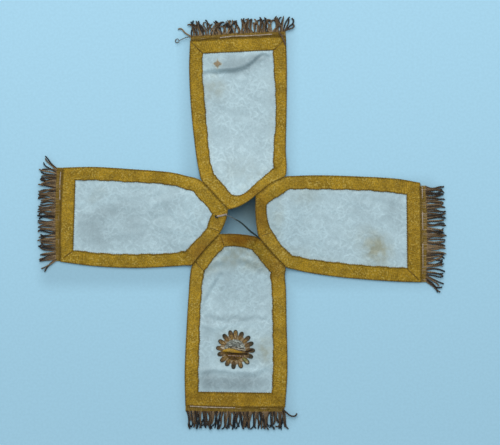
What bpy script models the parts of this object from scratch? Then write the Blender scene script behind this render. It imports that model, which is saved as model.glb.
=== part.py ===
"""A ciborium veil lying flat: four silk lappets in a cross round an open centre.

Each lappet is a silk panel bordered by a woven galloon, with a braid heading and a
bullion fringe sewn to its outer end. One lappet carries an embroidered sunburst, and a
loose thread crosses the opening. The veil lies on z = 0, +Z is up, and the top lappet
points along +Y. The cloth rises in a shallow tent towards the opening.

Sizes in the tables are millimetres. "Left" and "right" are those of someone who stands
at the opening and looks out along the lappet.
"""

import math
from bisect import bisect
from collections import namedtuple

import bpy
from mathutils import Matrix, Vector

MM = 0.001

# Thicknesses of the cloth and its trimmings
PANEL_THICKNESS = 1.2
GALLOON_THICKNESS = 0.9
HEADING_THICKNESS = 2.2
FRINGE_THICKNESS = 2.4

# Gaps in the plane of the cloth, between pieces and between lappets
PIECE_GAP = 0.3
SEAM_GAP = 0.8

# How finely the cloth is divided
WINDOW_COLUMNS = 7
BOWED_ROWS = 3
CURVE_STEPS = 8
TURN_REACH = 12.0
SHORT_REACH = 2.0
END_STEPS = 8

# Tent round the opening: its height, the radii where it starts and ends, and how much
# steeper it is near the opening than a straight cone
TENT_CENTRE = (-1.5, 4.5)
TENT_HEIGHT = 23.0
TENT_TOP_RADIUS = 14.0
TENT_FOOT_RADIUS = 104.0
TENT_STEEPNESS = 1.7

# Fringe comb
TEETH = 24
TOOTH_SHARE = 0.72
TOOTH_TAPER = 0.8
COMB_BAND = 2.5
FAN_SHARE = 0.14
FAN_EASE = 1.5
LENGTH_UNEVENNESS = 0.05
UNEVENNESS_TURN = 2.4

# Each seam joins two lappets, from the opening's corner to the notch between them.
# relief is how far it stands up as a ridge, or down as a valley.
Seam = namedtuple("Seam", "corner middle notch relief")
SEAM_STRETCHES = 2
SEAM_RELIEF_WIDTH = 11.0
SEAMS = {
    "top_right": Seam((16.0, 31.1), (30.2, 42.7), (48.6, 52.3), 4.5),
    "bottom_right": Seam((18.9, -16.2), (30.9, -30.1), (49.2, -49.7), 5.0),
    "bottom_left": Seam((-25.4, -12.9), (-38.0, -26.3), (-56.1, -47.8), -4.5),
    "top_left": Seam((-15.5, 15.0), (-27.9, 28.5), (-44.6, 46.6), 0.5),
}

# A lappet's cross-sections from the notches to its outer end: distance from the origin
# along its axis, then its left and right edges, measured from that axis.
Section = namedtuple("Section", "along left right")
TOP_SECTIONS = (
    Section(61.0, 49.2, -51.2),
    Section(84.0, 53.0, -50.4),
    Section(130.0, 57.9, -51.3),
    Section(176.0, 60.2, -51.6),
    Section(211.6, 59.2, -50.6),
)
RIGHT_SECTIONS = (
    Section(61.2, 53.5, -53.8),
    Section(84.0, 54.3, -58.4),
    Section(118.0, 53.6, -62.9),
    Section(176.0, 50.6, -67.3),
    Section(205.6, 45.8, -68.3),
)
BOTTOM_SECTIONS = (
    Section(61.0, 49.3, -59.2),
    Section(78.0, 50.6, -60.5),
    Section(112.0, 51.2, -62.7),
    Section(170.0, 52.2, -65.3),
    Section(211.0, 49.7, -64.6),
)
LEFT_SECTIONS = (
    Section(66.0, 48.8, -54.2),
    Section(84.0, 50.3, -58.0),
    Section(123.0, 51.8, -61.1),
    Section(169.0, 49.7, -63.9),
    Section(206.7, 44.7, -63.2),
)

# The galloon's widths at these distances along a long edge, from the opening's corner
WIDTH_STATIONS = (0, 10, 20, 30, 40, 50, 70, 105, 135, 165, 200)
Widths = namedtuple("Widths", "left right")
TOP_WIDTHS = Widths(
    (14.5, 14.4, 15.0, 14.8, 16.0, 15.8, 14.9, 16.0, 16.2, 15.1, 15.3),
    (10.2, 10.4, 11.2, 13.2, 15.8, 15.4, 14.1, 11.9, 12.7, 14.9, 15.4),
)
RIGHT_WIDTHS = Widths(
    (15.4, 15.7, 17.0, 16.0, 15.3, 15.0, 16.0, 15.8, 15.6, 16.4, 16.2),
    (17.0, 15.4, 14.2, 13.6, 14.4, 15.8, 15.5, 16.4, 16.0, 16.2, 16.2),
)
BOTTOM_WIDTHS = Widths(
    (15.0, 15.0, 15.2, 15.6, 17.2, 17.4, 16.0, 15.9, 16.0, 16.6, 16.6),
    (13.4, 13.9, 14.0, 14.0, 14.8, 15.8, 14.7, 14.5, 15.5, 15.6, 15.6),
)
LEFT_WIDTHS = Widths(
    (14.9, 14.8, 14.6, 15.1, 16.4, 17.6, 15.0, 15.9, 15.4, 15.5, 15.4),
    (16.3, 16.1, 15.3, 15.7, 15.5, 15.6, 14.5, 14.3, 14.9, 15.3, 14.8),
)

# The lappet's tip at the opening: how far along its left and right edges the window
# begins, and how far the middles of the tip and of the window's edge there stand out from
# their corners, away from the opening
Tip = namedtuple("Tip", "left_foot right_foot bow window_bow")

# The lappet's outer end: the galloon's width, and how far its middle stands out
Border = namedtuple("Border", "width bow")

# The heading braid's width at its left and right ends, and the extra width at its middle
Heading = namedtuple("Heading", "left right bow")

# The strands' length, and the tilt in degrees of the outermost ones, positive to the left
Fringe = namedtuple("Fringe", "length lean_left lean_right")

# facing is the lappet's direction in degrees from +X. row_step is how finely its cloth is
# divided along its length: the folded one needs it finer. end_skew is how much further out
# the outer end's left corner is than its right one.
Lappet = namedtuple(
    "Lappet", "facing left_seam right_seam sections widths row_step tip end end_skew heading fringe"
)
LAPPETS = {
    "top": Lappet(
        90, "top_left", "top_right", TOP_SECTIONS, TOP_WIDTHS, 5.0,
        Tip(10.5, 0.6, -2.6, -4.2), Border(15.3, 0.6), -5.2, Heading(5.6, 6.2, 0.0), Fringe(16.6, 26, -40),
    ),
    "right": Lappet(
        0, "top_right", "bottom_right", RIGHT_SECTIONS, RIGHT_WIDTHS, 8.5,
        Tip(3.1, 1.2, -1.4, -1.6), Border(15.8, 0.3), -1.1, Heading(6.2, 5.8, 1.6), Fringe(19.8, -6, -78),
    ),
    "bottom": Lappet(
        -90, "bottom_right", "bottom_left", BOTTOM_SECTIONS, BOTTOM_WIDTHS, 8.5,
        Tip(6.4, 6.9, -1.4, -2.0), Border(16.2, 0.5), 1.7, Heading(5.4, 6.4, 0.4), Fringe(19.2, 20, 14),
    ),
    "left": Lappet(
        180, "bottom_left", "top_left", LEFT_SECTIONS, LEFT_WIDTHS, 8.5,
        Tip(4.6, 9.0, -1.6, 0.6), Border(14.3, 1.4), 3.4, Heading(5.6, 8.2, 0.0), Fringe(18.4, 72, -66),
    ),
}

# Fold across the top lappet's window: its crest from the left galloon to the right one,
# as distance along the lappet and offset from its axis. It falls away steeply towards the
# opening and gently towards the fringe.
FOLD_CREST = ((174.5, 46.0), (176.5, 30.0), (179.0, 5.0), (184.0, -8.0), (192.0, -22.0), (194.0, -36.0))
FOLD_HEIGHT = 3.0
FOLD_STEEP_SIDE = 8.0
FOLD_GENTLE_SIDE = 15.0
FOLD_END_FADE = 20.0

# Sunburst on the bottom lappet, its disc halved by a raised bar
EMBLEM_CENTRE = (-7.8, -146.0)
RAYS = 16
RAY_TIP_RADIUS = 22.8
RAY_ROOT_RADIUS = 14.8
RAY_INNER_RADIUS = 13.0
RAYS_THICKNESS = 1.2
DISC_RADIUS = RAY_INNER_RADIUS - PIECE_GAP
DISC_THICKNESS = 0.9
HALF_DISC_CUT = 0.6
FIELD_CUT = 2.9
BAR_LENGTH = 35.2
BAR_WIDTH = 5.2
BAR_DROP = 1.4
BAR_TILT = -3.0
BAR_ROUNDING = 0.6
BAR_THICKNESS = 2.0
ARC_STEPS = 14
LOBE_STEPS = 4
LOBE_BLUNTNESS = 0.6

# Loose thread from a stitch on the left tip, sagging across the opening to the
# bottom-right seam: x, y and z of its middle
THREAD_DIAMETER = 1.1
THREAD_STEP = 2.0
THREAD_ROUTE = (
    (-20.5, 8.9, 24.2),
    (-17.6, 8.5, 25.3),
    (-14.5, 7.6, 24.6),
    (-7.8, 4.3, 21.6),
    (-2.0, 0.9, 20.2),
    (3.7, -3.7, 19.9),
    (9.5, -9.3, 21.2),
    (14.8, -13.3, 23.3),
    (18.2, -15.7, 24.3),
    (20.6, -18.2, 22.9),
)

# Colour, roughness and metallic value of each kind of piece
SILK = ((0.55, 0.65, 0.66, 1.0), 0.55, 0.0)
GALLOON_GOLD = ((0.36, 0.23, 0.03, 1.0), 0.45, 0.35)
HEADING_GOLD = ((0.30, 0.20, 0.07, 1.0), 0.5, 0.3)
BULLION_BROWN = ((0.09, 0.06, 0.045, 1.0), 0.5, 0.4)
RAY_GOLD = ((0.22, 0.13, 0.04, 1.0), 0.45, 0.5)
SILVER = ((0.35, 0.36, 0.35, 1.0), 0.4, 0.6)
BAR_GOLD = ((0.42, 0.26, 0.03, 1.0), 0.4, 0.6)
FIELD_BROWN = ((0.18, 0.10, 0.03, 1.0), 0.55, 0.3)
THREAD_GREY = ((0.40, 0.44, 0.42, 1.0), 0.7, 0.0)


def clear_scene():
    """Remove whatever the startup file holds."""
    for obj in list(bpy.data.objects):
        bpy.data.objects.remove(obj, do_unlink=True)


def material(name, look):
    """Principled material from a (colour, roughness, metallic) triple."""
    colour, roughness, metallic = look
    made = bpy.data.materials.new(name)
    made.use_nodes = True
    shader = made.node_tree.nodes["Principled BSDF"]
    shader.inputs["Base Color"].default_value = colour
    shader.inputs["Roughness"].default_value = roughness
    shader.inputs["Metallic"].default_value = metallic
    return made


def add_object(name, data, look, collection):
    """Object for this mesh or curve, with its material, in the veil's collection."""
    obj = bpy.data.objects.new(name, data)
    data.materials.append(material(name, look))
    collection.objects.link(obj)
    return obj


def smooth(share):
    """Smooth step from 0 to 1."""
    share = min(max(share, 0.0), 1.0)
    return share * share * (3.0 - 2.0 * share)


def rotated(vector, degrees):
    """The plane vector turned to the left by an angle."""
    return Matrix.Rotation(math.radians(degrees), 2) @ vector


def turned(lappet, along, across):
    """Point in the plane from a distance along the lappet and an offset to its left."""
    angle = math.radians(lappet.facing)
    outward = Vector((math.cos(angle), math.sin(angle)))
    leftward = Vector((-outward.y, outward.x))
    return along * outward + across * leftward


def segment_distance(point, start, end):
    """Distance from a point to the stretch between two others."""
    stretch = end - start
    share = (point - start).dot(stretch) / stretch.length_squared
    return (point - start - min(max(share, 0.0), 1.0) * stretch).length


def tent_share(point):
    """1 at the opening, falling ever more gently to 0 where the cloth comes to lie flat."""
    radius = (point - Vector(TENT_CENTRE)).length
    share = (TENT_FOOT_RADIUS - radius) / (TENT_FOOT_RADIUS - TENT_TOP_RADIUS)
    return min(max(share, 0.0), 1.0) ** TENT_STEEPNESS


def seam_relief(point):
    """Ridges and valleys that the seams make in the tent."""
    total = 0.0
    for seam in SEAMS.values():
        distance = segment_distance(point, Vector(seam.corner), Vector(seam.notch))
        total += seam.relief * math.exp(-((distance / SEAM_RELIEF_WIDTH) ** 2))
    return total


def fold_height(point):
    """Height of the fold across the top lappet's window."""
    along, across = point.y, -point.x
    if not FOLD_CREST[-1][1] < across < FOLD_CREST[0][1]:
        return 0.0
    for (start, start_across), (end, end_across) in zip(FOLD_CREST, FOLD_CREST[1:]):
        if end_across <= across <= start_across:
            share = (start_across - across) / (start_across - end_across)
            crest = start + (end - start) * share
            break
    side = along - crest
    reach = FOLD_GENTLE_SIDE if side > 0 else FOLD_STEEP_SIDE
    half_width = (FOLD_CREST[0][1] - FOLD_CREST[-1][1]) / 2
    middle = (FOLD_CREST[0][1] + FOLD_CREST[-1][1]) / 2
    fade = smooth((half_width - abs(across - middle)) / FOLD_END_FADE)
    return FOLD_HEIGHT * fade * smooth(1.0 - abs(side) / reach)


def cloth_height(point):
    """Height of the panels' underside."""
    share = tent_share(point)
    return share * (TENT_HEIGHT + seam_relief(point)) + fold_height(point)


def curve_point(controls, index, share, straight=0):
    """Point on a smooth curve through the controls, between controls index and index + 1.

    Up to the control numbered straight, the curve keeps to the stretches as they come.
    """
    here, after = controls[index], controls[index + 1]
    span = (after - here).length

    def tangent(i):
        low = max(i - 1, 0)
        high = min(i + (0 if 0 < i <= straight else 1), len(controls) - 1)
        length = sum((controls[k + 1] - controls[k]).length for k in range(low, high))
        return (controls[high] - controls[low]) / length

    square, cube = share**2, share**3
    return (
        (2 * cube - 3 * square + 1) * here
        + (cube - 2 * square + share) * span * tangent(index)
        + (3 * square - 2 * cube) * after
        + (cube - square) * span * tangent(index + 1)
    )


class Edge:
    """A long edge of a lappet, read by the distance along it from the opening's corner.

    side is 1 for the lappet's left edge and -1 for its right one.
    """

    def __init__(self, lappet, side):
        self.side = side
        self.widths = lappet.widths.left if side > 0 else lappet.widths.right
        self.tip_foot = lappet.tip.left_foot if side > 0 else lappet.tip.right_foot
        controls = self.seam_controls(lappet) + self.section_controls(lappet)
        self.points = [controls[0]]
        for index in range(len(controls) - 1):
            shares = [step / CURVE_STEPS for step in range(1, CURVE_STEPS + 1)]
            self.points += [curve_point(controls, index, share, SEAM_STRETCHES) for share in shares]
        self.distances = [0.0]
        for before, after in zip(self.points, self.points[1:]):
            self.distances.append(self.distances[-1] + (after - before).length)
        self.length = self.distances[-1]

    def seam_controls(self, lappet):
        """The seam's points, moved half a gap into the lappet."""
        seam = SEAMS[lappet.left_seam if self.side > 0 else lappet.right_seam]
        points = [Vector(place) for place in (seam.corner, seam.middle, seam.notch)]
        inward = self.inward_of(points[-1] - points[0])
        return [point + inward * SEAM_GAP / 2 for point in points]

    def section_controls(self, lappet):
        """The edge's point in each section, the last one skewed."""
        places = []
        for section in lappet.sections:
            skew = self.side * lappet.end_skew / 2 if section is lappet.sections[-1] else 0.0
            across = section.left if self.side > 0 else section.right
            places.append(turned(lappet, section.along + skew, across))
        return places

    def inward_of(self, direction):
        """Unit vector into the lappet, square to a direction along the edge."""
        direction = direction.normalized()
        return Vector((direction.y, -direction.x)) * self.side

    def at(self, distance):
        """The edge's point this far along."""
        index = min(max(bisect(self.distances, distance) - 1, 0), len(self.points) - 2)
        low, high = self.distances[index], self.distances[index + 1]
        return self.points[index].lerp(self.points[index + 1], (distance - low) / (high - low))

    def window_point(self, distance):
        """The galloon's inner edge beside the point this far along. Near a turn it eases round."""
        reach = min(TURN_REACH, max(distance, SHORT_REACH), self.length - distance)
        chord = self.at(distance + reach) - self.at(max(distance - reach, 0.0))
        index = min(bisect(WIDTH_STATIONS, distance), len(WIDTH_STATIONS) - 1)
        low, high = WIDTH_STATIONS[index - 1], WIDTH_STATIONS[index]
        share = (distance - low) / (high - low)
        width = self.widths[index - 1] + (self.widths[index] - self.widths[index - 1]) * share
        return self.at(distance) + self.inward_of(chord) * width


def corner_foot(along, across, edge_width, border_width):
    """Distance from a corner, on its edge, to the foot of the window's corner."""
    along, across = along.normalized(), across.normalized()
    cosine, sine = along.dot(across), abs(along.cross(across))
    return (border_width + edge_width * cosine) / sine


def bulge(share):
    """Parabola from 0 at both ends of an edge to 1 at its middle."""
    return 4 * share * (1 - share)


def window_rows(lappet, edges):
    """Rows from edge to edge through the window: left edge, window's sides, right edge."""
    spans = []
    for edge, other in (edges, edges[::-1]):
        end_foot = corner_foot(
            edge.points[-2] - edge.points[-1], other.points[-1] - edge.points[-1],
            edge.widths[-1], lappet.end.width,
        )
        spans.append((edge.tip_foot, edge.length - end_foot))
    count = round(max(end - start for start, end in spans) / lappet.row_step)
    steps = [k / WINDOW_COLUMNS for k in range(WINDOW_COLUMNS + 1)]
    rows = []
    for row in range(count + 1):
        bow = turned(lappet, lappet.tip.window_bow, 0.0) * max(0.0, 1 - row / BOWED_ROWS)
        points = []
        for edge, (start, end) in zip(edges, spans):
            distance = start + (end - start) * row / count
            points.append((edge.at(distance), edge.window_point(distance)))
        (left, window_left), (right, window_right) = points
        window = [window_left.lerp(window_right, step) + bow * bulge(step) for step in steps]
        rows.append([left] + window + [right])
    return rows


def border_row(left, right, inner, bow):
    """Row along the tip or the outer end, square to the corners of the window's row there."""
    across = right - left
    corners = (inner[1], inner[-2])
    first, last = ((point - left).dot(across) / across.length_squared for point in corners)
    steps = [k / WINDOW_COLUMNS for k in range(WINDOW_COLUMNS + 1)]
    shares = [0.0] + [first + (last - first) * step for step in steps] + [1.0]
    return [left + across * share + bow * bulge(share) for share in shares]


def lappet_grid(lappet):
    """Rows of points in the plane that cover the lappet from its tip to its outer end."""
    left, right = edges = Edge(lappet, 1), Edge(lappet, -1)
    outward = turned(lappet, 1.0, 0.0)
    rows = window_rows(lappet, edges)
    tip = border_row(left.points[0], right.points[0], rows[0], outward * lappet.tip.bow)
    end = border_row(left.points[-1], right.points[-1], rows[-1], outward * lappet.end.bow)
    return [tip] + rows + [end]


def sheet(name, grid, border_only, lift, thickness, look, collection):
    """Sheet over a grid's cells, or over its outermost ones, lifted off the cloth's underside."""
    last_row, last_column = len(grid) - 2, len(grid[0]) - 2
    cells = [
        (row, column)
        for row in range(last_row + 1)
        for column in range(last_column + 1)
        if not border_only or row in (0, last_row) or column in (0, last_column)
    ]
    numbers = {}
    points = []
    faces = []
    for row, column in cells:
        face = []
        for corner in ((row, column), (row, column + 1), (row + 1, column + 1), (row + 1, column)):
            if corner not in numbers:
                place = grid[corner[0]][corner[1]]
                numbers[corner] = len(points)
                points.append((place.x * MM, place.y * MM, (cloth_height(place) + lift) * MM))
            face.append(numbers[corner])
        faces.append(face)
    mesh = bpy.data.meshes.new(name)
    mesh.from_pydata(points, [], faces)
    mesh.shade_smooth()
    obj = add_object(name, mesh, look, collection)
    solidify = obj.modifiers.new("Thickness", "SOLIDIFY")
    solidify.thickness = thickness * MM
    solidify.offset = 1.0
    return obj


def flat_piece(name, outlines, bottom, thickness, look, collection, rounding=0.0):
    """Flat piece from outlines in the plane: the first is its edge, others are holes.

    Rounding swells the piece by its own radius all round its outline.
    """
    curve = bpy.data.curves.new(name, "CURVE")
    curve.dimensions = "2D"
    curve.fill_mode = "BOTH"
    curve.extrude = (thickness / 2 - rounding) * MM
    curve.bevel_depth = rounding * MM
    curve.bevel_resolution = 1
    for outline in outlines:
        spline = curve.splines.new("POLY")
        spline.points.add(len(outline) - 1)
        for target, place in zip(spline.points, outline):
            target.co = (place[0] * MM, place[1] * MM, 0.0, 1.0)
        spline.use_cyclic_u = True
    obj = add_object(name, curve, look, collection)
    obj.location.z = (bottom + thickness / 2) * MM
    return obj


def end_point(lappet, share, distance, widths=0.0):
    """Point outside the panel's outer end, at a share of the way from left to right.

    It is this distance out, and this many of the heading's widths.
    """
    left, right = Edge(lappet, 1).points[-1], Edge(lappet, -1).points[-1]
    outward = Vector((left.y - right.y, right.x - left.x)).normalized()
    if outward.dot(left) < 0:
        outward.negate()
    width = lappet.heading.left + (lappet.heading.right - lappet.heading.left) * share
    bow = bulge(share) * (lappet.end.bow + lappet.heading.bow * widths)
    return left + (right - left) * share + outward * (distance + width * widths + bow)


def heading(name, lappet, collection):
    """Braid strip along the outer end."""
    shares = [step / END_STEPS for step in range(END_STEPS + 1)]
    inner = [end_point(lappet, share, PIECE_GAP) for share in shares]
    outer = [end_point(lappet, share, PIECE_GAP, 1.0) for share in reversed(shares)]
    flat_piece(name, [inner + outer], 0.0, HEADING_THICKNESS, HEADING_GOLD, collection)


def tooth_lean(lappet, share):
    """Tilt of a fringe tooth in degrees, positive to the left: the ends fan out."""
    left_end = max(0.0, 1.0 - share / FAN_SHARE) ** FAN_EASE
    right_end = max(0.0, 1.0 - (1.0 - share) / FAN_SHARE) ** FAN_EASE
    return lappet.fringe.lean_left * left_end + lappet.fringe.lean_right * right_end


def fringe(name, lappet, collection):
    """Fringe as one comb: a narrow band with a tooth for every two strands."""
    start = 2 * PIECE_GAP
    outline = [end_point(lappet, step / END_STEPS, start, 1.0) for step in range(END_STEPS, -1, -1)]
    for tooth in range(TEETH):
        middle = (tooth + 0.5) / TEETH
        half = TOOTH_SHARE / TEETH / 2
        root_left = end_point(lappet, middle - half, start + COMB_BAND, 1.0)
        root_right = end_point(lappet, middle + half, start + COMB_BAND, 1.0)
        lean = tooth_lean(lappet, middle)
        half_tip = rotated((root_right - root_left) * TOOTH_TAPER / 2, lean)
        outward = end_point(lappet, middle, 1.0) - end_point(lappet, middle, 0.0)
        uneven = 1.0 + LENGTH_UNEVENNESS * math.sin(UNEVENNESS_TURN * tooth + lappet.facing)
        reach = rotated(outward, lean) * (lappet.fringe.length - COMB_BAND) * uneven
        tip = (root_left + root_right) / 2 + reach
        outline += [root_left, tip - half_tip, tip + half_tip, root_right]
    flat_piece(name, [outline], 0.0, FRINGE_THICKNESS, BULLION_BROWN, collection)


def arc(radius, start, end, steps):
    """Points on a circle round the emblem's centre, between two angles in degrees."""
    centre = Vector(EMBLEM_CENTRE)
    angles = [math.radians(start + (end - start) * k / steps) for k in range(steps + 1)]
    return [centre + radius * Vector((math.cos(a), math.sin(a))) for a in angles]


def half_disc(cut, upward):
    """Part of the disc above or below a straight cut, this far from its centre."""
    rise = math.degrees(math.asin(cut / DISC_RADIUS))
    start = rise if upward else 180.0 + rise
    return arc(DISC_RADIUS, start, start + 180.0 - 2 * rise, ARC_STEPS)


def ray_outline():
    """Lobed edge of the rays: one rounded petal for each."""
    centre = Vector(EMBLEM_CENTRE)
    points = []
    for step in range(RAYS * 2 * LOBE_STEPS):
        angle = 2 * math.pi * step / (RAYS * 2 * LOBE_STEPS)
        lobe = abs(math.cos(angle * RAYS / 2)) ** LOBE_BLUNTNESS
        radius = RAY_ROOT_RADIUS + (RAY_TIP_RADIUS - RAY_ROOT_RADIUS) * lobe
        points.append(centre + radius * Vector((math.cos(angle), math.sin(angle))))
    return points


def bar_outline():
    """Outline of the bar's flat middle: round ends across the disc, slightly tilted."""
    straight = (BAR_LENGTH - BAR_WIDTH) / 2
    radius = BAR_WIDTH / 2 - BAR_ROUNDING
    centre = Vector(EMBLEM_CENTRE) - Vector((0.0, BAR_DROP))
    steps = ARC_STEPS // 2
    points = []
    for end, first in ((straight, -90), (-straight, 90)):
        for step in range(steps + 1):
            angle = math.radians(first + 180 * step / steps)
            place = Vector((end + radius * math.cos(angle), radius * math.sin(angle)))
            points.append(centre + rotated(place, BAR_TILT))
    return points


def emblem(collection):
    """Sunburst: ring of rays, silver half disc, couched field and the raised bar."""
    base = PANEL_THICKNESS + PIECE_GAP
    hole = arc(RAY_INNER_RADIUS, 0.0, 360.0 * (1 - 1 / (2 * ARC_STEPS)), 2 * ARC_STEPS - 1)
    flat_piece("emblem_rays", [ray_outline(), hole], base, RAYS_THICKNESS, RAY_GOLD, collection)
    flat_piece("emblem_silver", [half_disc(HALF_DISC_CUT, True)], base, DISC_THICKNESS, SILVER, collection)
    flat_piece("emblem_field", [half_disc(FIELD_CUT, False)], base, DISC_THICKNESS, FIELD_BROWN, collection)
    bar_base = base + RAYS_THICKNESS + PIECE_GAP
    flat_piece("emblem_bar", [bar_outline()], bar_base, BAR_THICKNESS, BAR_GOLD, collection, BAR_ROUNDING)


def thread(collection):
    """Loose thread: a thin tube along a smooth curve through its route."""
    controls = [Vector(place) for place in THREAD_ROUTE]
    points = [controls[0]]
    for index in range(len(controls) - 1):
        steps = max(1, round((controls[index + 1] - controls[index]).length / THREAD_STEP))
        points += [curve_point(controls, index, k / steps) for k in range(1, steps + 1)]
    curve = bpy.data.curves.new("loose_thread", "CURVE")
    curve.dimensions = "3D"
    curve.bevel_depth = THREAD_DIAMETER / 2 * MM
    curve.bevel_resolution = 2
    curve.use_fill_caps = True
    spline = curve.splines.new("POLY")
    spline.points.add(len(points) - 1)
    for target, place in zip(spline.points, points):
        target.co = (*(place * MM), 1.0)
    add_object("loose_thread", curve, THREAD_GREY, collection)


def build():
    """The whole veil."""
    clear_scene()
    collection = bpy.data.collections.new("ciborium_veil")
    bpy.context.scene.collection.children.link(collection)
    galloon_lift = PANEL_THICKNESS + PIECE_GAP
    for name, lappet in LAPPETS.items():
        grid = lappet_grid(lappet)
        sheet(f"panel_{name}", grid, False, 0.0, PANEL_THICKNESS, SILK, collection)
        sheet(f"galloon_{name}", grid, True, galloon_lift, GALLOON_THICKNESS, GALLOON_GOLD, collection)
        heading(f"heading_{name}", lappet, collection)
        fringe(f"fringe_{name}", lappet, collection)
    emblem(collection)
    thread(collection)


build()
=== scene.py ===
import math
from collections import namedtuple

import bpy
import numpy as np
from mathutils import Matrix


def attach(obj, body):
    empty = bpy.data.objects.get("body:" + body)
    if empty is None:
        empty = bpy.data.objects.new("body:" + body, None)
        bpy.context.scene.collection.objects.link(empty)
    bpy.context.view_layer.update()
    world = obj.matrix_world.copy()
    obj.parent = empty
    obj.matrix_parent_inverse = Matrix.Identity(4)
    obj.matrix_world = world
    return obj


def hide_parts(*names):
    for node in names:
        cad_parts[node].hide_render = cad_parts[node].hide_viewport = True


# Looks of a ciborium veil laid out flat, seen from straight above. Tables are in
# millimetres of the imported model's frame, and meshes become metres when they are made.
# "Left" and "right" are those of someone at the opening who looks out along the lappet.

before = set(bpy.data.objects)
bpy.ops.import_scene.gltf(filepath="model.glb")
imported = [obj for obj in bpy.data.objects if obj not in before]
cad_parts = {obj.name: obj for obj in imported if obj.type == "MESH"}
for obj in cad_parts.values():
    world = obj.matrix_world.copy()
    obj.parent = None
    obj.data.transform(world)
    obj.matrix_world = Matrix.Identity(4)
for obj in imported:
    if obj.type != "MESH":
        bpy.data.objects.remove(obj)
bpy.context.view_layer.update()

MM = 0.001
random = np.random.default_rng(7)

# The photograph's frame: its width and height, the pixel at the origin, and its scale
PHOTO_SIZE = (500, 445)
ORIGIN_PIXEL = (241.75, 222.75)
MM_PER_PIXEL = 1.15
CAMERA_HEIGHT = 2200.0
SENSOR_WIDTH = 36.0

# Shape of the cloth, as in the model
TAPE_FOOT = 1.3
TAPE_THICKNESS = 1.1
TAPE_WIDTH = 15.0
SEAM_GAP = 0.3
CURVE_STEPS = 8
TURN_REACH = 12.0
TENT_CENTRE = (-1.5, 4.5)
TENT_HEIGHT = 23.0
TENT_TOP_RADIUS = 14.0
TENT_FOOT_RADIUS = 104.0
TENT_STEEPNESS = 1.7

Seam = namedtuple("Seam", "corner middle notch relief")
SEAM_STRETCHES = 2
SEAM_RELIEF_WIDTH = 11.0
SEAMS = {
    "top_right": Seam((16.0, 31.1), (30.2, 42.7), (48.6, 52.3), 4.5),
    "bottom_right": Seam((18.9, -16.2), (30.9, -30.1), (49.2, -49.7), 5.0),
    "bottom_left": Seam((-25.4, -12.9), (-38.0, -26.3), (-56.1, -47.8), -4.5),
    "top_left": Seam((-15.5, 15.0), (-27.9, 28.5), (-44.6, 46.6), 0.5),
}

# A lappet's cross-sections: distance from the origin along its axis, then its left and
# right edges, measured from that axis
TOP_SECTIONS = (
    (61.0, 49.2, -51.2), (84.0, 53.0, -50.4), (130.0, 57.9, -51.3), (176.0, 60.2, -51.6), (211.6, 59.2, -50.6)
)
RIGHT_SECTIONS = (
    (61.2, 53.5, -53.8), (84.0, 54.3, -58.4), (118.0, 53.6, -62.9), (176.0, 50.6, -67.3), (205.6, 45.8, -68.3)
)
BOTTOM_SECTIONS = (
    (61.0, 49.3, -59.2), (78.0, 50.6, -60.5), (112.0, 51.2, -62.7), (170.0, 52.2, -65.3), (211.0, 49.7, -64.6)
)
LEFT_SECTIONS = (
    (66.0, 48.8, -54.2), (84.0, 50.3, -58.0), (123.0, 51.8, -61.1), (169.0, 49.7, -63.9), (206.7, 44.7, -63.2)
)

# The galloon's widths at these distances along a long edge, from the opening's corner
WIDTH_STATIONS = (0, 10, 20, 30, 40, 50, 70, 105, 135, 165, 200)
Widths = namedtuple("Widths", "left right")
TOP_WIDTHS = Widths(
    (14.5, 14.4, 15.0, 14.8, 16.0, 15.8, 14.9, 16.0, 16.2, 15.1, 15.3),
    (10.2, 10.4, 11.2, 13.2, 15.8, 15.4, 14.1, 11.9, 12.7, 14.9, 15.4),
)
RIGHT_WIDTHS = Widths(
    (15.4, 15.7, 17.0, 16.0, 15.3, 15.0, 16.0, 15.8, 15.6, 16.4, 16.2),
    (17.0, 15.4, 14.2, 13.6, 14.4, 15.8, 15.5, 16.4, 16.0, 16.2, 16.2),
)
BOTTOM_WIDTHS = Widths(
    (15.0, 15.0, 15.2, 15.6, 17.2, 17.4, 16.0, 15.9, 16.0, 16.6, 16.6),
    (13.4, 13.9, 14.0, 14.0, 14.8, 15.8, 14.7, 14.5, 15.5, 15.6, 15.6),
)
LEFT_WIDTHS = Widths(
    (14.9, 14.8, 14.6, 15.1, 16.4, 17.6, 15.0, 15.9, 15.4, 15.5, 15.4),
    (16.3, 16.1, 15.3, 15.7, 15.5, 15.6, 14.5, 14.3, 14.9, 15.3, 14.8),
)

# The lappet's tip at the opening: how far along its left and right edges the window
# begins, and how far the middles of the tip and of the window's edge there stand out from
# their corners, away from the opening
Tip = namedtuple("Tip", "left_foot right_foot bow window_bow")

# Galloon's width and bow at the outer end. Heading: its widths and bow, the share of the end
# that it leaves free at the left, and how much paler its bars are. Fringe: its strands, their
# length, tilt of the outermost ones in degrees, positive to the left, how much they curl and
# lean at random, and tone
Border = namedtuple("Border", "width bow")
Heading = namedtuple("Heading", "left right bow start pale")
Fringe = namedtuple("Fringe", "strands length lean_left lean_right curl jitter tone")
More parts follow.
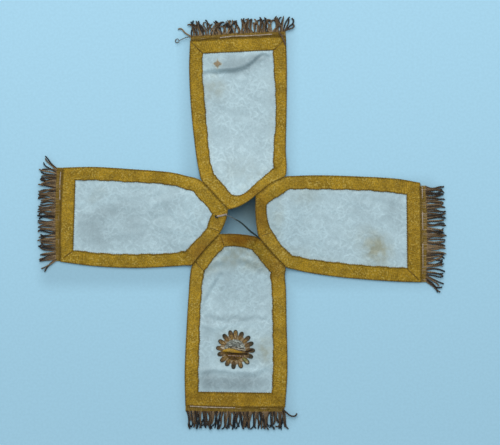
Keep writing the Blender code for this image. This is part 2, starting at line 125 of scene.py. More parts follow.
# The end's skew is how much further out its left corner is than its right one
Lappet = namedtuple("Lappet", "facing left_seam right_seam sections widths tip end end_skew heading fringe")
LAPPETS = {
    "top": Lappet(
        90, "top_left", "top_right", TOP_SECTIONS, TOP_WIDTHS, Tip(10.5, 0.6, -2.6, -4.2),
        Border(15.3, 0.6), -5.2,
        Heading(5.6, 6.2, 0.0, 0.005, 0.03), Fringe(74, 16.0, 22, -36, 1.2, 10.0, 0.1),
    ),
    "right": Lappet(
        0, "top_right", "bottom_right", RIGHT_SECTIONS, RIGHT_WIDTHS, Tip(3.1, 1.2, -1.4, -1.6),
        Border(15.8, 0.3), -1.1,
        Heading(6.2, 5.8, 1.6, 0.028, 0.22), Fringe(70, 19.4, -14, -60, 0.5, 6.0, 0.08),
    ),
    "bottom": Lappet(
        -90, "bottom_right", "bottom_left", BOTTOM_SECTIONS, BOTTOM_WIDTHS, Tip(6.4, 6.9, -1.4, -2.0),
        Border(16.2, 0.5), 1.7,
        Heading(5.4, 6.4, 0.4, 0.005, 0.03), Fringe(84, 18.6, 18, 22, 0.7, 8.0, -0.14),
    ),
    "left": Lappet(
        180, "bottom_left", "top_left", LEFT_SECTIONS, LEFT_WIDTHS, Tip(4.6, 9.0, -1.6, 0.6),
        Border(14.3, 1.4), 3.4,
        Heading(5.6, 8.2, 0.0, 0.005, 0.08), Fringe(74, 17.6, 46, -40, 0.5, 6.0, 0.06),
    ),
}

# Fold across the top lappet, as in the model: distance along it, offset to its left
FOLD_CREST = ((174.5, 46.0), (176.5, 30.0), (179.0, 5.0), (184.0, -8.0), (192.0, -22.0), (194.0, -36.0))
FOLD_HEIGHT = 3.0
FOLD_STEEP_SIDE = 8.0
FOLD_GENTLE_SIDE = 15.0
FOLD_END_FADE = 20.0

# Creases in the silk: their width, height or, if negative, depth, and line
CREASES = {
    "top": (
        (3.2, 0.8, ((-44, 176), (-32, 177), (-18, 177), (-8, 178), (4, 182), (15, 188.5), (23, 193.5),
                    (31, 195))),
        (2.2, -1.5, ((-43, 170.5), (-28, 171.5), (-10, 172.5), (5, 176), (13, 183), (19, 189.5),
                     (25, 192.7), (31, 189.6))),
        (2.6, -0.8, ((-10, 169), (1, 170.5))),
        (2.6, 1.3, ((-44, 176), (-32, 177), (-18, 177.5), (-7, 178))),
        (2.0, -1.4, ((9, 179.5), (15, 185.5), (21, 190.8), (25, 192.8), (31, 190))),
        (8.0, 0.7, ((-9, 88), (-18, 78), (-28, 67))),
        (7.0, -0.6, ((4, 60), (14, 74), (27, 84))),
        (4.0, -0.35, ((-30, 130), (-8, 122), (16, 126))),
    ),
    "right": (
        (7.0, 0.6, ((50, 18), (64, 2), (71, -16))),
        (5.0, -0.45, ((88, 28), (104, 6), (108, -22))),
        (6.0, 0.5, ((132, 30), (146, 8), (143, -30))),
        (4.0, -0.4, ((158, -6), (170, -24), (184, -44))),
    ),
    "bottom": (
        (4.0, 1.1, ((-41, -50), (-31, -44.5), (-22, -43))),
        (4.0, -0.8, ((-42, -57), (-32, -51.5), (-22, -50))),
        (4.0, 1.1, ((0, -41), (12, -43), (21, -50))),
        (4.0, -0.8, ((-1, -48), (10, -50), (20, -57))),
        (2.2, -1.9, ((-24, -60), (-32, -75), (-42, -94), (-46, -104))),
        (3.0, 0.8, ((-30, -58), (-38, -73), (-46, -88))),
        (2.4, -1.0, ((-40, -108), (-30, -112), (-18, -114), (-6, -109), (0, -115), (15, -110), (28, -113))),
        (3.2, 1.5, ((-46, -170), (-34, -168.5), (-20, -168.5), (2, -170.5), (15, -172), (26, -166))),
        (3.4, -0.6, ((-46, -176), (-34, -174), (-20, -175), (2, -178), (15, -178), (28, -172))),
        (3.0, 1.0, ((-46, -117), (-34, -120.5), (-20, -119))),
    ),
    "left": (
        (3.2, -0.7, ((-112, -14), (-109, -5), (-103, 3), (-90, 8), (-80, 7))),
        (4.5, 0.8, ((-104, 17), (-94, 24), (-82, 29), (-70, 32))),
        (3.5, -0.6, ((-100, 28), (-88, 34), (-76, 36))),
        (3.0, -0.7, ((-69, 18), (-63, 8), (-57, -4), (-56, -17))),
        (5.0, 0.6, ((-86, -9), (-74, -7), (-64, -11))),
        (4.0, -0.6, ((-182, 41), (-176, 28), (-171, 15))),
        (5.0, 0.5, ((-150, 28), (-140, 8), (-138, -18))),
    ),
}

# Stains in the silk, and painted shade: where, how far they reach, and how strong they are at the middle.
# Negative ones make the silk darker and greyer: along the top lappet's fold, in the bottom lappet's creases
# and at its lower end they are painted shade
STAINS_AND_SHADE = {
    "top": (
        ((-31, 154), (13, 13), 0.5), ((-33, 171), (12, 5), 0.3), ((24, 176), (10, 12), 0.2),
        ((-4, 60), (26, 18), 0.2), ((-3, 182), (46, 13), -0.58), ((20, 190), (12, 5), -0.3),
    ),
    "right": (
        ((157, -33), (16, 16), 0.95), ((155, -16), (26, 18), 0.4), ((160, 15), (9, 7), 0.25),
        ((73, 29), (18, 9), 0.28), ((42, 6), (8, 22), 0.3), ((62, -36), (20, 9), 0.2),
        ((140, 18), (22, 18), -0.2), ((172, 6), (20, 40), -0.36),
    ),
    "bottom": (
        ((27, -147), (9, 15), 0.65), ((-8, -146), (30, 28), 0.25), ((24, -50), (18, 9), 0.3),
        ((-10, -184), (50, 14), -0.7), ((-10, -111), (38, 8), -0.4), ((-42, -150), (10, 40), -0.3),
        ((-38, -54), (10, 8), 0.4), ((-3, -38), (34, 15), 0.62),
    ),
    "left": (
        ((-162, 32), (15, 11), 0.5), ((-175, 21), (9, 9), 0.4), ((-150, -4), (14, 12), 0.25),
        ((-52, 8), (14, 12), 0.2), ((-110, 0), (70, 38), -0.26), ((-168, 6), (38, 44), -0.34),
    ),
}

# Spots on the tape, dark or, with a negative strength, browner. The browner ones at the right and bottom
# lappets' tips and beside the two lower seams are painted shade, where the tape slopes away from the light
TAPE_SPOTS = {
    "top": (((10, 33), (18, 9), -0.35),),
    "right": (((22, 8), (10, 27), -0.5), ((190, -10), (16, 60), -0.15)),
    "bottom": (
        ((13, -24.5), (5.5, 4.0), 0.5), ((-1, -19), (26, 10), -0.95), ((38, -48), (14, 20), -0.35),
        ((-7, -202), (60, 12), -0.3),
    ),
    "left": (((-45, -34), (18, 16), -0.5), ((-26, 0), (10, 12), -0.2)),
}

# Soil along the tape: how strong, and how far it reaches
EDGE_SOIL = 0.16
EDGE_SOIL_REACH = 5.0

# Small brown mark on the top lappet's silk, and how ragged its edge is
MARK_PLACE = (-27.9, 182.4)
MARK_REACH = 5.4
MARK_RAGGED = 1.9

# Sunburst on the bottom lappet: each ray's direction in degrees, length, and tone
EMBLEM_CENTRE = (-7.8, -146.0)
EMBLEM_FOOT = 1.25
RAYS = (
    (105, 23.2, 0.45), (88, 23.0, 0.62), (67, 22.6, 0.35), (42, 23.3, 0.4), (21, 22.8, 0.3), (-2, 23.2, 0.35),
    (-23, 22.6, 0.25), (-45, 22.8, 1.0), (-70, 22.6, 0.6), (-95, 22.3, 0.2), (-119, 21.2, 0.45),
    (-141, 21.6, 0.5), (-164, 21.0, 0.35), (174, 22.0, 0.5), (150, 22.0, 0.55), (127, 22.6, 0.35),
)
GROUND_RADIUS = 17.0
RAY_ROOT_RADIUS = 12.2
RAY_HALF_WIDTH = 3.3
RAY_RIM = 0.5
DISC_RADIUS = 12.4

# The disc's short threads: rows this far apart, and the threads' lengths, radius and gap.
# The heights between which the rows lie
CHIP_ROW = 0.95
CHIP_LENGTHS = (1.2, 2.2)
CHIP_RADIUS = 0.46
CHIP_GAP = 0.1
SILVER_ROWS = (-0.4, 12.0)
FIELD_ROWS = (-12.0, -3.0)

# The bar: its slant in degrees, its ends, and its middle line, radius and tone along it
BAR_TILT = -3.0
BAR_ENDS = (-14.4, 14.8)
BAR_AXIS = ((BAR_ENDS[0], -2.2), (-6.5, -0.6), (0.0, -1.5), (5.0, -2.3), (BAR_ENDS[1], -2.6))
BAR_RADII = (
    (BAR_ENDS[0], 0.5), (-12.5, 1.4), (-7.5, 2.5), (-2.0, 2.3), (4.0, 1.4), (12.0, 1.1), (BAR_ENDS[1], 0.5),
)
BAR_TONES = ((-16, 0.66), (-8, 0.8), (4, 0.78), (10, 0.45), (15, 0.12))

# The dark thread below the bar: its line, radius and tone. The beads below that: where their
# row begins and ends, their pitch, a bead's line from its place, and its radius
LOWER_LINE = ((-9.0, -3.6), (0.0, -4.1), (14.5, -4.1))
LOWER_RADIUS = 0.7
LOWER_TONE = 0.08
BEADS = (-6.5, 10.5)
BEAD_PITCH = 1.9
BEAD_LINE = ((-0.5, -7.1), (0.0, -6.9), (0.5, -7.1))
BEAD_RADIUS = 0.72

# Pale and dark threads beside the bar, from the emblem's centre: line, radius, and tone. The pale ones are
# partly painted highlight, where white glints show above the bar and at its left end
BAR_LINES = (
    (((-3.6, 2.6), (1.0, 1.7), (6.0, 0.6), (12.2, -0.6)), 0.62, 0.93),
    (((-6.0, 3.6), (0.0, 3.0), (6.0, 1.9), (12.4, 1.0)), 0.26, 0.1),
    (((12.6, -1.6), (16.0, -0.9), (20.0, 0.2)), 0.75, 0.03),
    (((-16.6, 2.9), (-14.2, 2.6), (-12.2, 2.2)), 0.85, 0.93),
    (((-15.2, 1.4), (-13.4, 1.2), (-11.6, 0.9)), 0.7, 0.93),
)

# Loose thread: the same route as in the model, in metres
THREAD_ROUTE = (
    (-0.0205, 0.0089, 0.0242), (-0.0176, 0.0085, 0.0253), (-0.0145, 0.0076, 0.0246), (-0.0078, 0.0043, 0.0216),
    (-0.0020, 0.0009, 0.0202), (0.0037, -0.0037, 0.0199), (0.0095, -0.0093, 0.0212), (0.0148, -0.0133, 0.0233),
    (0.0182, -0.0157, 0.0243), (0.0206, -0.0182, 0.0229),
)

# Its tone and its plies' radius at these distances along it, the plies' offset as a share of that radius, and
# the length of a turn.
# The tone falls from pale to dark: partly the thread's own colour, partly painted shade where it crosses the
# shaded opening
THREAD_TONES = ((0, 0.6), (9, 0.55), (13, 0.4), (18, 0.06), (55, 0.0))
THREAD_RADII = ((0, 0.3), (12, 0.4), (20, 0.6), (38, 0.76), (52, 0.5))
THREAD_OFFSET = 0.6
THREAD_TURN = 3.0

# Thick pale stitch over the left lappet's tape, where the loose thread starts, and the dark needle hole at its
# other end, a dark ring that paints the shade inside the loop
PALE_STITCH = ((-28.0, 7.3), (-22.7, 8.2), (-17.0, 9.5))
PALE_STITCH_HOLE = ((-26.6, 5.9), (-29.0, 6.1), (-30.0, 7.2), (-28.9, 8.4))
PALE_STITCH_OFFSET = 0.45
PALE_STITCH_RADIUS = 0.55
HOLE_RADIUS = 0.75

# Silk sheets: grid step along them and columns across, thickness, and the top's height over
# the cloth's underside, with its lower limit over the floor and how softly that sets in
SILK_STEP = 1.4
SILK_COLUMNS = 76
SILK_THICKNESS = 1.0
SILK_TOP = 1.15
SILK_LOWEST = 0.3
SILK_EASE = 0.25
FLOOR_GAP = 0.05

# Swells of the silk, as height and size; puckers along the tape, as height, size, distance
# from the edge and reach; where the silk is free of the tape and of the emblem, and over
# what width it becomes so
SWELLS = ((0.32, 34.0), (0.17, 13.0))
PUCKERS = (0.24, 7.5, 15.5, 3.0)
TAPE_HOLD = (12.5, 6.0)
EMBLEM_HOLD = (19.0, 8.0)

# Tape: its section, as shares of its width and of its thickness, up to the middle
TAPE_SECTION = (
    (0.0, 0.1), (0.012, 0.62), (0.035, 0.92), (0.065, 0.95), (0.095, 0.7), (0.16, 0.74), (0.33, 0.86),
    (0.5, 0.9),
)
half_shares, half_heights = np.array(TAPE_SECTION).T
TAPE_SHARES = np.concatenate([half_shares, 1 - half_shares[-2::-1]])
TAPE_HEIGHTS = np.concatenate([half_heights, half_heights[-2::-1]])
TAPE_OVERHANG = 0.3
TAPE_SINK = 0.05
TAPE_STEP = 1.2

# Tape's mitres: close stations near them, where the even ones begin, and the dip there
MITRE_STEPS = np.array((0.0, 0.4, 0.8, 1.3, 1.9, 2.6))
MITRE_END = 3.4
MITRE_DIP = 0.45
MITRE_DIP_REACH = 0.7

# Overcast stitches on the tape's inner and outer edges: their pitch, and how far they reach
# beyond the tape and over it. Joins across the tape: the radius and tone of their thread
StitchRow = namedtuple("StitchRow", "pitch reach_out reach_in")
INNER_STITCHES = StitchRow(2.6, 0.7, 1.5)
OUTER_STITCHES = StitchRow(3.4, 0.1, 1.6)
STITCH_RADIUS = 0.17
STITCH_TONE = 0.4
JOIN_RADIUS = 0.33
JOIN_TONE = 0.26

# Heading braid: its base's section, as shares of its width and of the base's thickness. The
# bars across it: shares of its width and heights, radius, and pitch. The cord along it and
# its paler stretches: radius, offset and turn length of the plies, and height. Stitches over
# its inner edge: pitch, heights, and radius
BRAID_SECTION = ((0.0, 0.5), (0.03, 0.85), (0.1, 1.0), (0.5, 0.9), (0.9, 1.0), (0.97, 0.85), (1.0, 0.5))
BRAID_BASE = 1.5
CROSSBAR_LINE = ((0.02, 0.9), (0.15, 1.55), (0.5, 1.7), (0.85, 1.55), (1.04, 0.8))
CROSSBAR_RADIUS = 0.42
CROSSBAR_PITCH = 1.85
CORD_PLIES = (0.3, 0.24, 2.2)
CORD_HEIGHT = 2.1
STREAK_PLIES = (0.42, 0.28, 2.4)
STREAK_HEIGHT = 2.35
BRAID_STITCH_PITCH = 2.3
BRAID_STITCH_HEIGHTS = (2.25, 2.6, 1.6)
BRAID_STITCH_RADIUS = 0.24

# Fringe strands: their two plies, how the outermost ones fan out, how many degrees they
# curl, sway and hook at random, their lengths as shares of the fringe's, the heights of
# their roots and tips, and their tones, with what the root adds. Strays: how high they lie
# near the heading, how near that is, and how high elsewhere
PLY_RADIUS = 0.54
PLY_OFFSET = 0.46
PLY_TURN = 4.4
FAN_SHARE = 0.14
FAN_EASE = 1.5
STRAND_TURNS = (26.0, 16.0, 60.0)
STRAND_LENGTHS = (0.86, 1.08)
ROOT_HEIGHT = 1.35
TIP_HEIGHTS = (1.1, 3.0)
STRAND_TONES = (-0.2, 0.7)
ROOT_TONE = 0.46
STRAY_HIGH, STRAY_NEAR, STRAY_LOW = 3.6, 16.0, 1.4

# Rings of a padded shape, as shares of its outline's size and, squared, of its height
MOUND_RINGS = ((1.0, 0.0), (1.0, 0.25), (0.93, 0.6), (0.78, 0.82), (0.55, 0.95), (0.3, 1.0), (0.08, 1.0))


def smooth(share):
    """Smooth step from 0 to 1."""
    share = np.clip(share, 0.0, 1.0)
    return share * share * (3.0 - 2.0 * share)


def unit(vectors):
    """The vectors at length 1."""
    return vectors / np.linalg.norm(vectors, axis=-1, keepdims=True)


def bulge(share):
    """Parabola from 0 at both ends of an edge to 1 at its middle."""
    return 4 * share * (1 - share)


def between(start, end, shares):
    """Points at these shares of the way between two points, or two rows of points."""
    shares = np.asarray(shares, float)[..., None]
    return np.asarray(start) * (1 - shares) + np.asarray(end) * shares


def turned(lappet, along, across):
    """Point in the plane from a distance along the lappet and an offset to its left."""
    angle = math.radians(lappet.facing)
    outward = np.array((math.cos(angle), math.sin(angle)))
    return along * outward + across * np.array((-outward[1], outward[0]))


def line_distance(points, line):
    """Distance in the plane from a broken line."""
    nearest = np.full(points.shape[:-1], np.inf)
    for start, end in zip(line, line[1:]):
        start, stretch = np.array(start, float), np.subtract(end, start)
        share = np.clip((points - start) @ stretch / (stretch @ stretch), 0.0, 1.0)
        nearest = np.minimum(nearest, np.linalg.norm(points - start - share[..., None] * stretch, axis=-1))
    return nearest


def fold_height(points):
    """Height of the fold across the top lappet's window."""
    alongs, offsets = np.array(FOLD_CREST[::-1]).T
    across = -points[..., 0]
    side = points[..., 1] - np.interp(across, offsets, alongs)
    reach = np.where(side > 0, FOLD_GENTLE_SIDE, FOLD_STEEP_SIDE)
    half_width = (offsets[-1] - offsets[0]) / 2
    fade = smooth((half_width - np.abs(across - (offsets[-1] + offsets[0]) / 2)) / FOLD_END_FADE)
    return FOLD_HEIGHT * fade * smooth(1.0 - np.abs(side) / reach)


def cloth_height(points):
    """Height of the cloth's underside."""
    radius = np.linalg.norm(points - np.array(TENT_CENTRE), axis=-1)
    share = np.clip((TENT_FOOT_RADIUS - radius) / (TENT_FOOT_RADIUS - TENT_TOP_RADIUS), 0.0, 1.0)
    relief = np.zeros(radius.shape)
    for seam in SEAMS.values():
        aside = line_distance(points, (seam.corner, seam.notch)) / SEAM_RELIEF_WIDTH
        relief += seam.relief * np.exp(-(aside**2))
    return share**TENT_STEEPNESS * (TENT_HEIGHT + relief) + fold_height(points)


def at_height(points, height):
    """Points in the plane set at a height, or at one height each."""
    heights = np.broadcast_to(height, np.shape(points)[:-1])
    return np.concatenate([points, heights[..., None]], axis=-1)


def raised(points, lift):
    """Points in the plane set this far above the cloth's underside."""
    return at_height(points, cloth_height(points) + lift)


def waves(points, size, count=7):
    """Irregular swell of about 1 high, with waves of about this size."""
    total = np.zeros(points.shape[:-1])
    for _ in range(count):
        turn, phase = random.uniform(0, 2 * math.pi, 2)
        length = size * random.uniform(0.7, 1.6)
        total += np.sin(points[..., :2] @ (math.cos(turn), math.sin(turn)) * 2 * math.pi / length + phase)
    return total / math.sqrt(count)


def curve_points(controls, straight=0):
    """Smooth curve through the controls, straight up to the control numbered straight."""
    controls = np.asarray(controls, float)
    spans = np.linalg.norm(np.diff(controls, axis=0), axis=-1)

    def tangent(i):
        low = max(i - 1, 0)
        high = min(i + (0 if 0 < i <= straight else 1), len(controls) - 1)
        return (controls[high] - controls[low]) / spans[low:high].sum()

    points = [controls[:1]]
    share = np.arange(1, CURVE_STEPS + 1)[:, None] / CURVE_STEPS
    square, cube = share**2, share**3
    for i, span in enumerate(spans):
        points.append(
            (2 * cube - 3 * square + 1) * controls[i]
            + (cube - 2 * square + share) * span * tangent(i)
            + (3 * square - 2 * cube) * controls[i + 1]
            + (cube - square) * span * tangent(i + 1)
        )
    return np.concatenate(points)


def read_off(table, places):
    """Values at these places, from a table of places and values."""
    return np.interp(places, *zip(*table))


def path_distances(points):
    """Distance of each point along the line that they make."""
    return np.concatenate([[0.0], np.cumsum(np.linalg.norm(np.diff(points, axis=0), axis=-1))])


def points_at(line, distances):
    """Points of a line at these distances along it."""
    known = path_distances(line)
    return np.stack([np.interp(distances, known, column) for column in line.T], axis=-1)


class Edge:
    """A long edge of a lappet, read by the distance along it from the opening's corner."""

    def __init__(self, lappet, side):
        self.side = side
        self.widths = lappet.widths.left if side > 0 else lappet.widths.right
        self.tip_foot = lappet.tip.left_foot if side > 0 else lappet.tip.right_foot
        seam = SEAMS[lappet.left_seam if side > 0 else lappet.right_seam]
        controls = np.array((seam.corner, seam.middle, seam.notch))
        controls = controls + self.inward_of(controls[-1] - controls[0]) * SEAM_GAP
        places = []
        for along, left, right in lappet.sections:
            places.append(turned(lappet, along, left if side > 0 else right))
        places[-1] += turned(lappet, side * lappet.end_skew / 2, 0.0)
        self.points = curve_points(np.concatenate([controls, places]), SEAM_STRETCHES)
        self.length = path_distances(self.points)[-1]

    def inward_of(self, directions):
        """Unit vectors into the lappet, square to directions along the edge."""
        directions = unit(directions)
        return np.stack([directions[..., 1], -directions[..., 0]], axis=-1) * self.side

    def at(self, distance):
        """The edge's points this far along."""
        return points_at(self.points, distance)

    def inset(self, distance, share, overhang):
        """Points this far along, moved over a share of the galloon's width. They ease round turns."""
        reach = np.clip(np.minimum(np.maximum(distance, 2.0), self.length - distance), 0.5, TURN_REACH)
        chord = self.at(distance + reach) - self.at(distance - reach)
        wander = 0.3 * np.sin(distance / 3.9 + self.side) + 0.2 * np.sin(distance / 1.5)
        width = share * (np.interp(distance, WIDTH_STATIONS, self.widths) + wander) - (1 - share) * overhang
        return self.at(distance) + self.inward_of(chord) * width[..., None]


def ring_faces(rows, columns, closed=True):
    """Quads between successive rows of points."""
    spans = np.arange(columns if closed else columns - 1)
    row, column = np.meshgrid(np.arange(rows - 1), spans, indexing="ij")
    after = (column + 1) % columns
    low, high = row * columns, (row + 1) * columns
    return np.stack([low + column, low + after, high + after, high + column], axis=-1).reshape(-1, 4)


def placed(name, data):
    """New object of this data in the scene."""
    obj = bpy.data.objects.new(name, data)
    bpy.context.scene.collection.objects.link(obj)
    return obj


class Piece:
    """Closed parts that become one mesh. Each point has a place in mm and weave values:
    distances across and along the cloth or yarn in mm, and a tone."""

    def __init__(self):
        self.points, self.weave, self.faces, self.count = [], [], [], 0

    def add(self, points, weave, *face_groups):
        """Append a closed part, turning its faces outward."""
        points = np.reshape(points, (-1, 3))
        volume = 0.0
        for group in face_groups:
            corners = points[group] - points[0]
            for k in range(1, group.shape[1] - 1):
                cross = np.cross(corners[:, k], corners[:, k + 1])
                volume += (corners[:, 0] * cross).sum()
        for group in face_groups:
            self.faces += ((group if volume > 0 else group[:, ::-1]) + self.count).tolist()
        self.points.append(points)
        self.weave.append(np.broadcast_to(weave, (*np.shape(weave)[:-1], 3)).reshape(-1, 3))
        self.count += len(points)

    def add_rings(self, rings, weave):
        """Append a part from successive closed rings, with flat ends."""
        rows, columns = rings.shape[:2]
        ends = np.stack([np.arange(columns)[::-1], np.arange(columns) + (rows - 1) * columns])
        self.add(rings, weave, ring_faces(rows, columns), ends)

    def make(self, name, look):
        """The mesh object, in metres, that stands on the frame's root body."""
        mesh = bpy.data.meshes.new(name)
        mesh.from_pydata((np.concatenate(self.points) * MM).tolist(), [], self.faces)
        mesh.shade_smooth()
        values = mesh.attributes.new("weave", "FLOAT_VECTOR", "POINT")
        values.data.foreach_set("vector", np.concatenate(self.weave).ravel().astype(np.float32))
        mesh.materials.append(look.material)
        obj = placed(name, mesh)
        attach(obj, "root")
        return obj


def slab(piece, top, thickness, weave):
    """Sheet of this thickness under a grid of points, no lower than the floor."""
    rows, columns = top.shape[:2]
    count = rows * columns
    bottom = top.copy()
    bottom[..., 2] = np.maximum(top[..., 2] - thickness, FLOOR_GAP)
    numbers = np.arange(count).reshape(rows, columns)
    rim = np.concatenate([numbers[0, :-1], numbers[:-1, -1], numbers[-1, :0:-1], numbers[:0:-1, 0]])
    after = np.roll(rim, -1)
    faces = ring_faces(rows, columns, closed=False)
    walls = np.stack([after, rim, rim + count, after + count], axis=-1)
    piece.add(np.stack([top, bottom]), np.stack([weave, weave]), faces, faces[:, ::-1] + count, walls)


def tube(piece, path, radius, tone, sides=6):
    """Round yarn along a path; radius and tone may change along it."""
    path = np.asarray(path, float)
    tangents = unit(np.gradient(path, axis=0))
    normal = np.cross(tangents[0], (0.31, 0.17, 0.93))
    normals = []
    for tangent in tangents:
        normal = normal - tangent * (normal @ tangent)
        normal = normal / math.sqrt(normal @ normal)
        normals.append(normal)
    normals = np.array(normals)
    others = np.cross(tangents, normals)
    angles = np.arange(sides) * 2 * math.pi / sides
    cosines, sines = np.cos(angles)[None, :, None], np.sin(angles)[None, :, None]
    radii = np.broadcast_to(radius, len(path))[:, None, None]
    weave = np.zeros((len(path), sides, 3))
    weave[..., 0] = np.mean(radii) * angles
    weave[..., 1] = path_distances(path)[:, None]
    weave[..., 2] = np.broadcast_to(tone, len(path))[:, None]
    piece.add_rings(path[:, None] + radii * (cosines * normals[:, None] + sines * others[:, None]), weave)


def twisted(piece, path, ply_radius, offset, turn_length, tone, phase=0.0, sides=6, hairpin=False):
    """Two plies twisted together along a path. A hairpin is one ply that doubles back."""
    distances = path_distances(path)
    tangents = unit(np.gradient(path, axis=0))
    level = unit(np.cross(tangents, (0.0, 0.0, 1.0)))
    upward = np.cross(level, tangents)
    angle = (distances * 2 * math.pi / turn_length + phase)[:, None]
    swing = np.broadcast_to(offset, len(path))[:, None] * (np.cos(angle) * level + np.sin(angle) * upward)
    tone = np.broadcast_to(tone, len(path))
    if hairpin:
        turn = path[-1] + tangents[-1] * ply_radius * 1.2
        tube(piece, np.concatenate([path + swing, [turn], (path - swing)[::-1]]), ply_radius,
             np.concatenate([tone, tone[-1:], tone[::-1]]), sides)
    else:
        tube(piece, path + swing, ply_radius, tone, sides)
        tube(piece, path - swing, ply_radius, tone, sides)


def mound(piece, outline, centre, base, height, tone):
    """Padded shape over an outline in the plane."""
    rings = []
    for scale, share in MOUND_RINGS:
        rings.append(at_height(centre + (outline - centre) * scale, base + height * share**0.5))
    rings = np.array(rings)
    tones = np.broadcast_to(np.reshape(tone, (-1, 1)), (*rings.shape[:2], 1))
    piece.add_rings(rings, np.concatenate([rings[..., :2], tones], axis=-1))


class Look:
    """A material whose node tree is built from short calls."""

    def __init__(self, name, roughness, metallic=0.0, sheen=0.0, specular=0.5):
        self.material = bpy.data.materials.new(name)
        self.material.use_nodes = True
        self.tree = self.material.node_tree
        self.shader = self.tree.nodes["Principled BSDF"]
        names = ("Roughness", "Metallic", "Sheen Weight", "Specular IOR Level")
        for socket, value in zip(names, (roughness, metallic, sheen, specular)):
            self.shader.inputs[socket].default_value = value
        self.place = self.node("ShaderNodeTexCoord")["Object"]
        self.x, self.y, _ = self.node("ShaderNodeSeparateXYZ", (self.place,))
        weave = self.node("ShaderNodeAttribute", attribute_name="weave")["Vector"]
        self.across, self.along, self.tone = self.node("ShaderNodeSeparateXYZ", (weave,))

    def node(self, kind, inputs=(), **settings):
        """Outputs of a new node with these settings and inputs."""
        made = self.tree.nodes.new(kind)
        for name, value in settings.items():
            setattr(made, name, value)
        for socket, value in zip(made.inputs, inputs):
            self.feed(socket, value)
        return made.outputs

    def feed(self, socket, value):
        """Link a socket to an output, or set it to a constant."""
        if isinstance(value, bpy.types.NodeSocket):
            self.tree.links.new(value, socket)
        elif value is not None:
            socket.default_value = value

    def math(self, operation, *values):
        return self.node("ShaderNodeMath", values, operation=operation)[0]

    def chain(self, operation, *values):
        """Values joined by one operation, from the first to the last."""
        total = values[0]
        for value in values[1:]:
            total = self.math(operation, total, value)
        return total

    def gap(self, first, second):
        return self.math("ABSOLUTE", self.math("SUBTRACT", first, second))

    def distance(self, x, y):
        """Length of the line from 0 to a point in the plane."""
        return self.math("SQRT", self.math("ADD", self.math("MULTIPLY", x, x), self.math("MULTIPLY", y, y)))

    def remap(self, value, low, high, to_low=0.0, to_high=1.0):
        """A range of values carried smoothly over to another."""
        values = (value, low, high, to_low, to_high)
        return self.node("ShaderNodeMapRange", values, interpolation_type="SMOOTHSTEP")[0]

    def mix(self, factor, first, second, blend="MIX"):
        return self.node("ShaderNodeMixRGB", (factor, first, second), blend_type=blend)[0]

    def vector(self, x, y, z=0.0):
        return self.node("ShaderNodeCombineXYZ", (x, y, z))[0]

    def noise(self, size, detail=2.0, where=None):
        """Noise from 0 to 1 with blobs of about this many mm."""
        if where is None:
            where, size = self.place, size * MM
        return self.node("ShaderNodeTexNoise", (where, None, 1.0 / size, detail))[0]

    def patches(self, size, detail, *bounds):
        """Such noise, with a range of its values carried over to another."""
        return self.remap(self.noise(size, detail), *bounds)

    def shaded(self, colour, *factors):
        """A colour made lighter or darker by these factors."""
        if isinstance(colour, tuple):
            colour = colour[:3]
        product = self.chain("MULTIPLY", *factors)
        return self.node("ShaderNodeVectorMath", (colour, None, None, product), operation="SCALE")[0]

    def tinted(self, factor, colour, tint):
        """A colour multiplied by a tint, by this factor."""
        return self.mix(factor, colour, self.mix(1.0, colour, tint, "MULTIPLY"))

    def stripes(self, value, pitch):
        """Wave from 0 to 1 of this pitch."""
        wave = self.math("SINE", self.math("MULTIPLY", value, 2 * math.pi / pitch))
        return self.math("MULTIPLY_ADD", wave, 0.5, 0.5)

    def finish(self, colour, height=None, depth=0.0):
        """Set the colour, and a relief of this depth in mm."""
        self.feed(self.shader.inputs["Base Color"], colour)
        if height is not None:
            bump = self.tree.nodes.new("ShaderNodeBump")
            bump.inputs["Distance"].default_value = depth * MM
            self.feed(bump.inputs["Height"], height)
            self.feed(self.shader.inputs["Normal"], bump.outputs[0])
        return self


def rgb(red, green, blue):
    return (red, green, blue, 1.0)


# Colours of the silk and of its soil and mark, of the tape with its painted glints, its browning and painted
# shade and its spots, and of the ground and its painted shade
SILK_BLUE = rgb(0.505, 0.655, 0.70)
SOIL_TINT = rgb(0.74, 0.60, 0.43)
MARK_HALO = rgb(0.42, 0.48, 0.40)
MARK_RUSTS = (rgb(0.19, 0.135, 0.07), rgb(0.32, 0.205, 0.085))
TAPE_GOLD = rgb(0.465, 0.272, 0.016)
PAINTED_GLINT_GOLD = rgb(0.72, 0.51, 0.11)
BROWNING_AND_SHADE_TINT = rgb(0.60, 0.41, 0.13)
SPOT_BROWN = rgb(0.085, 0.08, 0.03)
GROUND_BLUE = rgb(0.458, 0.74, 0.90)
SHADE_TINT = rgb(0.42, 0.37, 0.32)

# Repeat of the damask's figures, across and along the lappet, and its lobed outlines: lobes,
# height, and middle radius. The last two outlines are lines, with these half-widths
REPEAT = (47.0, 41.5)
HEART = (4.0, 1.3, 5.2)
RINGS = (((12.0, 0.5, 10.2), 0.9, 1.5), ((8.0, 2.6, 15.5), 1.1, 1.8))


def rosettes(look):
    """Woven figures from 0 to 1: rings round four-lobed hearts, in staggered rows."""
    figures = []
    for stagger in (0.0, 0.5):
        values = zip((look.across, look.along), REPEAT)
        x, y = (within_repeat(look, value, size, stagger) for value, size in values)
        radius = look.distance(x, y)
        angle = look.math("ARCTAN2", y, x)
        figures.append(look.remap(inside_lobes(look, angle, radius, *HEART), -0.4, 0.4))
        for outline, full, end in RINGS:
            aside = look.math("ABSOLUTE", inside_lobes(look, angle, radius, *outline))
            figures.append(look.remap(aside, full, end, 1.0, 0.0))
    return look.chain("MAXIMUM", *figures)


def inside_lobes(look, angle, radius, count, height, middle):
    """How far inside a lobed outline a point lies."""
    wave = look.math("COSINE", look.math("MULTIPLY", angle, count))
    return look.math("SUBTRACT", look.math("MULTIPLY_ADD", wave, height, middle), radius)


def within_repeat(look, value, size, stagger):
    """Distance in mm from the middle of the repeat that a value falls in."""
    share = look.math("FRACT", look.math("MULTIPLY_ADD", value, 1.0 / size, stagger))
    return look.math("MULTIPLY", look.math("SUBTRACT", share, 0.5), size)


